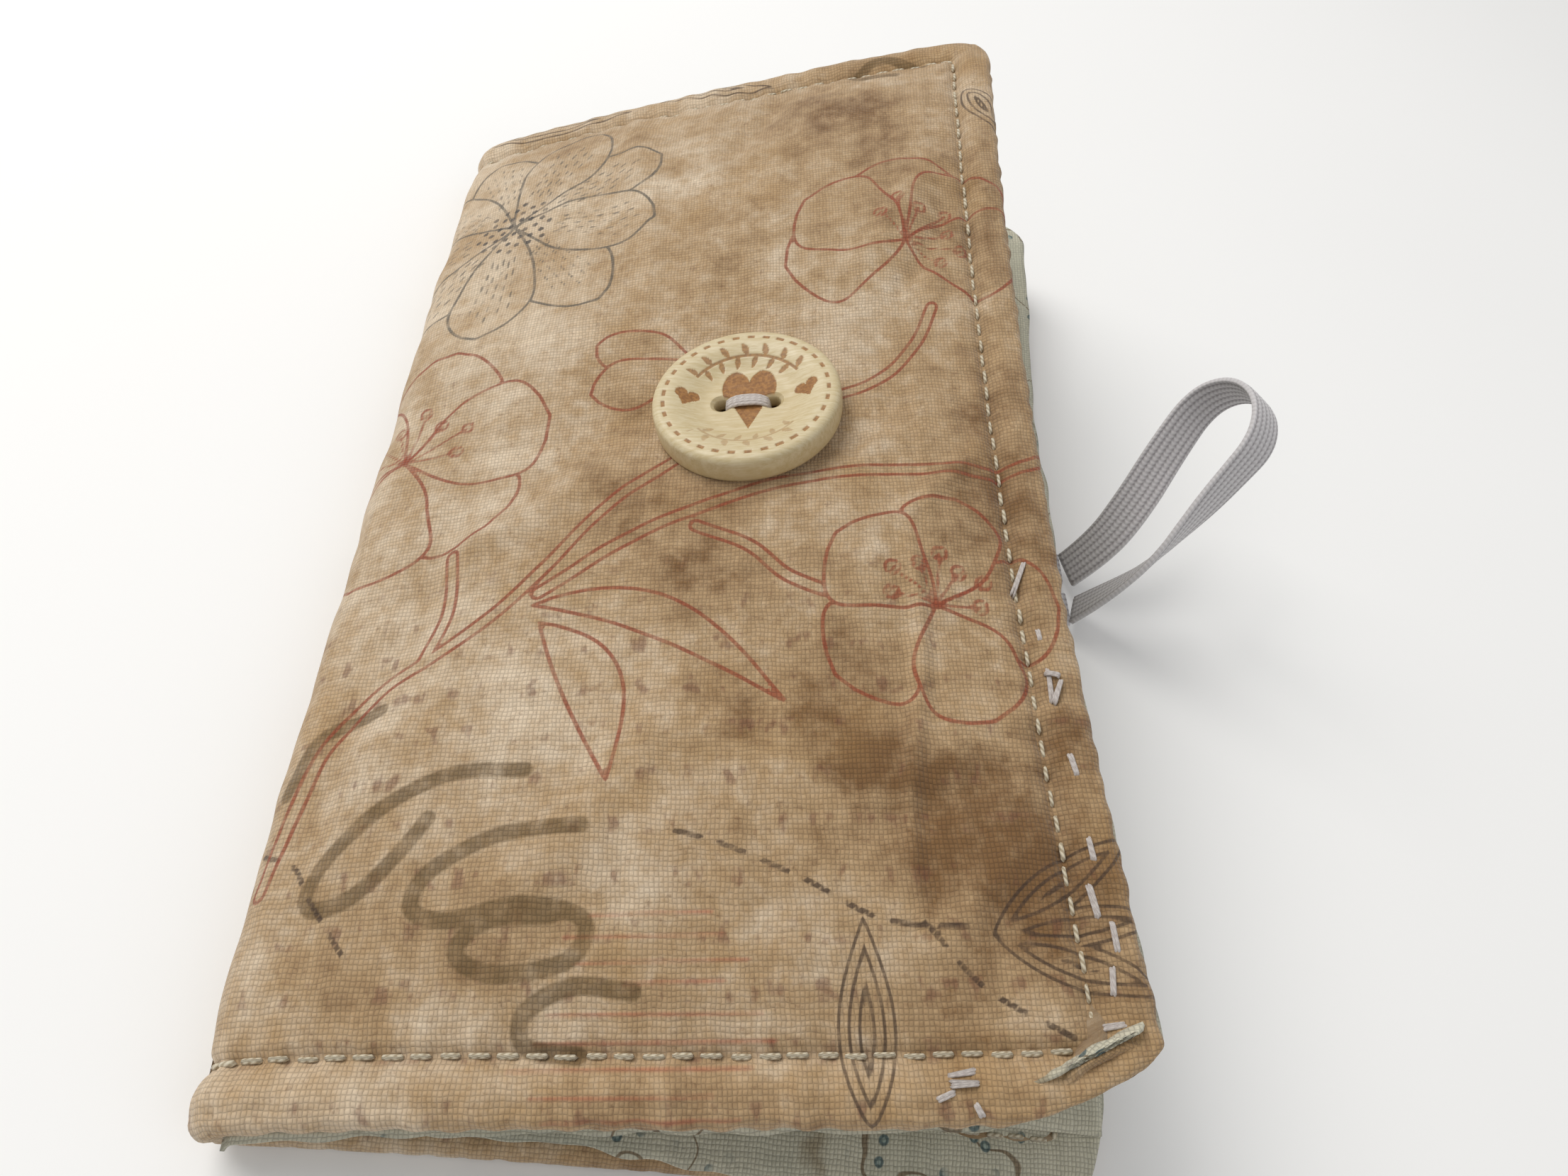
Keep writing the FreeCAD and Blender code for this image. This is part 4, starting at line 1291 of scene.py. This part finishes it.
def felt():
    """Wool felt: tangled fibres in soft clumps."""
    paint = Paint("felt", Roughness=0.95, Sheen_Weight=0.4, Specular_IOR_Level=0.1)
    cloth = paint.attribute("cloth", "Vector")
    tangle = paint.noise(cloth, 1.0, 6.0, 0.75, stretch=(2.4, 1.7, 1.0))
    tone = paint.noise(cloth, 0.35, 3.0) * 0.5 + tangle * 0.7
    colour = paint.mix(paint.between(tone, 0.35, 0.85), rgb(206, 196, 172), rgb(236, 230, 212))
    return paint.finish(colour, tangle, 0.3)


# ---------------------------------------------------------------- felt leaves and pocket

LEAF_WIDTH, LEAF_LENGTH, LEAF_THICK = 60.0, 112.0, 0.8


def felt_leaf(name, material, share):
    """Felt leaf that lies a share of the way from the back lining up to the front lining."""
    x = BACK_FOLD[0] + 0.2 + np.linspace(0, LEAF_WIDTH, 76)
    v = LENGTH / 2 + np.linspace(-LEAF_LENGTH / 2, LEAF_LENGTH / 2, 140)
    scan = np.linspace(1.0, FRONT_SPAN, 150)
    under = cover_point("front", scan[:, None], v[None, :], -HALF - LINING)
    ceiling = np.stack([np.interp(x, under[:, k, 0], under[:, k, 2]) for k in range(len(v))], 1)
    gx, gv = np.meshgrid(x, v, indexing="ij")
    floor = 2 * HALF + LINING + 0.35 + 1.1 * back_lift(gx - BACK_FOLD[0], gv)
    start = np.minimum(ceiling[:1], floor[:1] + 2.6)
    ceiling = np.where(gx < x[0] + 5, start + (ceiling - start) * smooth(gx, x[0], x[0] + 5), ceiling)
    z = floor + share * (ceiling - floor) + 0.12 * ripple(gx, gv, 30, 40 + int(6 * share))
    ex, ev = np.minimum(gx - x[0], x[-1] - gx), LEAF_LENGTH / 2 - np.abs(gv - LENGTH / 2)
    rounding = LEAF_THICK / 2 * np.sqrt(np.clip(np.minimum(np.minimum(ex, ev), 0.8) / 0.8, 0.05, 1))
    top, bottom = (np.stack([gx, NEAR + gv, z + side * rounding], -1) for side in (1, -1))
    return two_sided(name, top, bottom, gx, gv, material)


def page_stitches(name, material):
    """The row that holds both leaves at the spine."""
    low, high = box_mm("page_stitching")
    paths = []
    middle = (low + high) / 2
    for y in np.arange(low[1] + 1.5, high[1] - 1.5, 3.0):
        t = np.linspace(-1, 1, 7)
        x = middle[0] + 0.15 - 0.25 * np.abs(t) ** 4
        paths.append(np.stack([x, y + 1.1 * t, middle[2] + 0 * t], -1))
    return threads(name, paths, [0.24] * len(paths), material)


# ---------------------------------------------------------------- the case

printed, mint, wool = printed_cotton(), mint_cotton(), felt()
cream_thread = sewing_thread("sewing_thread", rgb(216, 206, 182), rgb(164, 148, 120))
white_thread = sewing_thread("mending_thread", rgb(220, 212, 206), rgb(178, 166, 160), 0.5, 0.25)

BEND_START = cover_point("front", SPINE_U["front"], LENGTH / 2, -HALF - LINING) * MM
# The stretch over which the cloth's turn passes from the spine to a cover.
BEND = {"front": (BEND_START, BEND_START + Vector((3.9, 0, 3.9)) * MM),
        "back": (BEND_START, BEND_START + Vector((3.2, 0, -3.2)) * MM)}
LINING_TOP = -HALF - 0.03


def sewn(piece, side, slot, *nodes):
    """A cover's piece, baked where it lies, with the CAD nodes it replaces hidden."""
    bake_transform(piece)
    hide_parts(*nodes)
    return piece


def riding(piece, body, slot, *nodes):
    """A piece that moves with one body."""
    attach(piece, body)
    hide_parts(*nodes)
    return piece


PUFF = simulated_puff()
front_shell = padded_shell("front", "front_cover_cloth", printed, INKS)
sewn(front_shell, "front", "printed_cotton", "front_outer_fabric", "front_wadding", "spine_outer_fabric",
     "spine_wadding")

back_inks = {label: mirrored(draw) for label, draw in INKS.items()}
back_shell = padded_shell("back", "back_cover_cloth", printed, back_inks)
sewn(back_shell, "back", "printed_cotton", "back_outer_fabric", "back_wadding")

front_lining = thin_sheet("front", "front_lining_cloth", mint,
                          lambda u, v: 0.25 - 0.75 * smooth(60 - v, 0, 30) + 0.25 * ripple(u, v, 7, 51),
                          LINING_TOP, LINING, lift=lining_relief)
sewn(front_lining, "front", "mint_cotton", "front_lining", "spine_lining")

back_lining = thin_sheet("back", "back_lining_cloth", mint,
                         lambda u, v: 1.3 * (1 - smooth(u, 24, 44)) + 0.05 + 0.25 * ripple(u, v, 8, 52),
                         LINING_TOP, LINING, lift=lining_relief)
sewn(back_lining, "back", "mint_cotton", "back_lining")

pocket_low, pocket_high = box_mm("back_pocket")
pocket_u = (pocket_low[0] - BACK_FOLD[0], BACK_SPAN - 0.4)
pocket_v = (pocket_low[1] - NEAR, pocket_high[1] - NEAR)
pocket = thin_sheet("back", "back_pocket_cloth", mint, None, LINING_TOP - LINING - 0.04, 0.36, pocket_u,
                    pocket_v, lift=lambda u, v, e: -0.30 * smooth(e, 0.5, 4) - 0.25 * bump(e, 1.0, 0.7))
riding(pocket, "back_cover", "mint_cotton", "back_pocket")
(pocket_u[1] - pocket_u[0]) * MM
(pocket_v[1] - pocket_v[0]) * MM

for side in ("front", "back"):
    for face, faces_out in (("_topstitches", True), ("_lining_stitches", False)):
        seam = topstitches(side, side + face, cream_thread, faces_out)
        sewn(seam, side, "sewing_thread", side + "_topstitching")

sewn(mending("mending_stitches", white_thread), "front", "sewing_thread", "hand_repair_stitches")

for leaf_name, body, node, share in (("lower_felt_leaf", "lower_page", "felt_page_back", 0.32),
                                     ("upper_felt_leaf", "upper_page", "felt_page_front", 0.68)):
    page = riding(felt_leaf(leaf_name, wool, share), body, "felt", node)

riding(page_stitches("leaf_stitches", cream_thread), "spine", "sewing_thread", "page_stitching")
riding(wooden_button("wooden_button", boxwood()), "button", "boxwood", "button")
riding(button_threads("button_thread_turns", white_thread), "front_cover", "sewing_thread", "button_thread")

elastic_cloth = elastic()
band, band_path = elastic_band("elastic_band", elastic_cloth)
riding(band, "loop", "elastic", "elastic_loop")
tails = elastic_tails("elastic_ends", elastic_cloth, *box_mm("elastic_tails"))
riding(tails, "back_cover", "elastic", "elastic_tails")

# ---------------------------------------------------------------- table, light and camera

floor_mesh = bpy.data.meshes.new("table_top")
corners = [(x, y, -0.0001) for x, y in ((-3, -3), (3, -3), (3, 3), (-3, 3))]
floor_mesh.from_pydata(corners, [], [(0, 1, 2, 3)])
floor = linked("table_top", floor_mesh)
pale = Paint("pale_table", Roughness=0.9, Specular_IOR_Level=0.1)
grainy = pale.noise(pale.node("TexCoord").outputs["Object"], 8.0)
table_colour = pale.mix(grainy, rgb(250, 250, 249), rgb(246, 246, 245))
floor_mesh.materials.append(pale.finish(table_colour, grainy, 0.01))


def soft_light(name, location, size, power, colour):
    light = bpy.data.lights.new(name, "AREA")
    light.size, light.energy, light.color = size, power, colour
    lamp = linked(name, light)
    lamp.location = location
    lamp.rotation_euler = (-Vector(location)).to_track_quat("-Z", "Y").to_euler()


soft_light("window", (-0.42, 0.30, 0.60), 0.5, 4.3, (1.0, 0.98, 0.95))
soft_light("room", (0.5, -0.5, 0.6), 0.8, 0.9, (0.95, 0.97, 1.0))

world = bpy.data.worlds.new("studio")
world.use_nodes = True
backdrop = world.node_tree.nodes["Background"]
backdrop.inputs["Color"].default_value = (1.0, 1.0, 1.0, 1.0)
backdrop.inputs["Strength"].default_value = 0.48
bpy.context.scene.world = world
bpy.context.scene.view_settings.view_transform = "Standard"

camera_data = bpy.data.cameras.new("camera")
camera_data.lens, camera_data.sensor_width, camera_data.sensor_fit = 25.355, 36.0, "HORIZONTAL"
camera_data.clip_start = 0.005
camera = linked("camera", camera_data)
RIGHT, UP, BACKWARD = (0.98165, 0.00167, 0.19069), (-0.11779, 0.79170, 0.59945), (-0.14997, -0.61091, 0.77736)
turn = Matrix((RIGHT, UP, BACKWARD)).transposed().to_4x4()
camera.matrix_world = Matrix.Translation(Vector((-14.435, -86.607, 105.094)) * MM) @ turn
bpy.context.scene.camera = camera
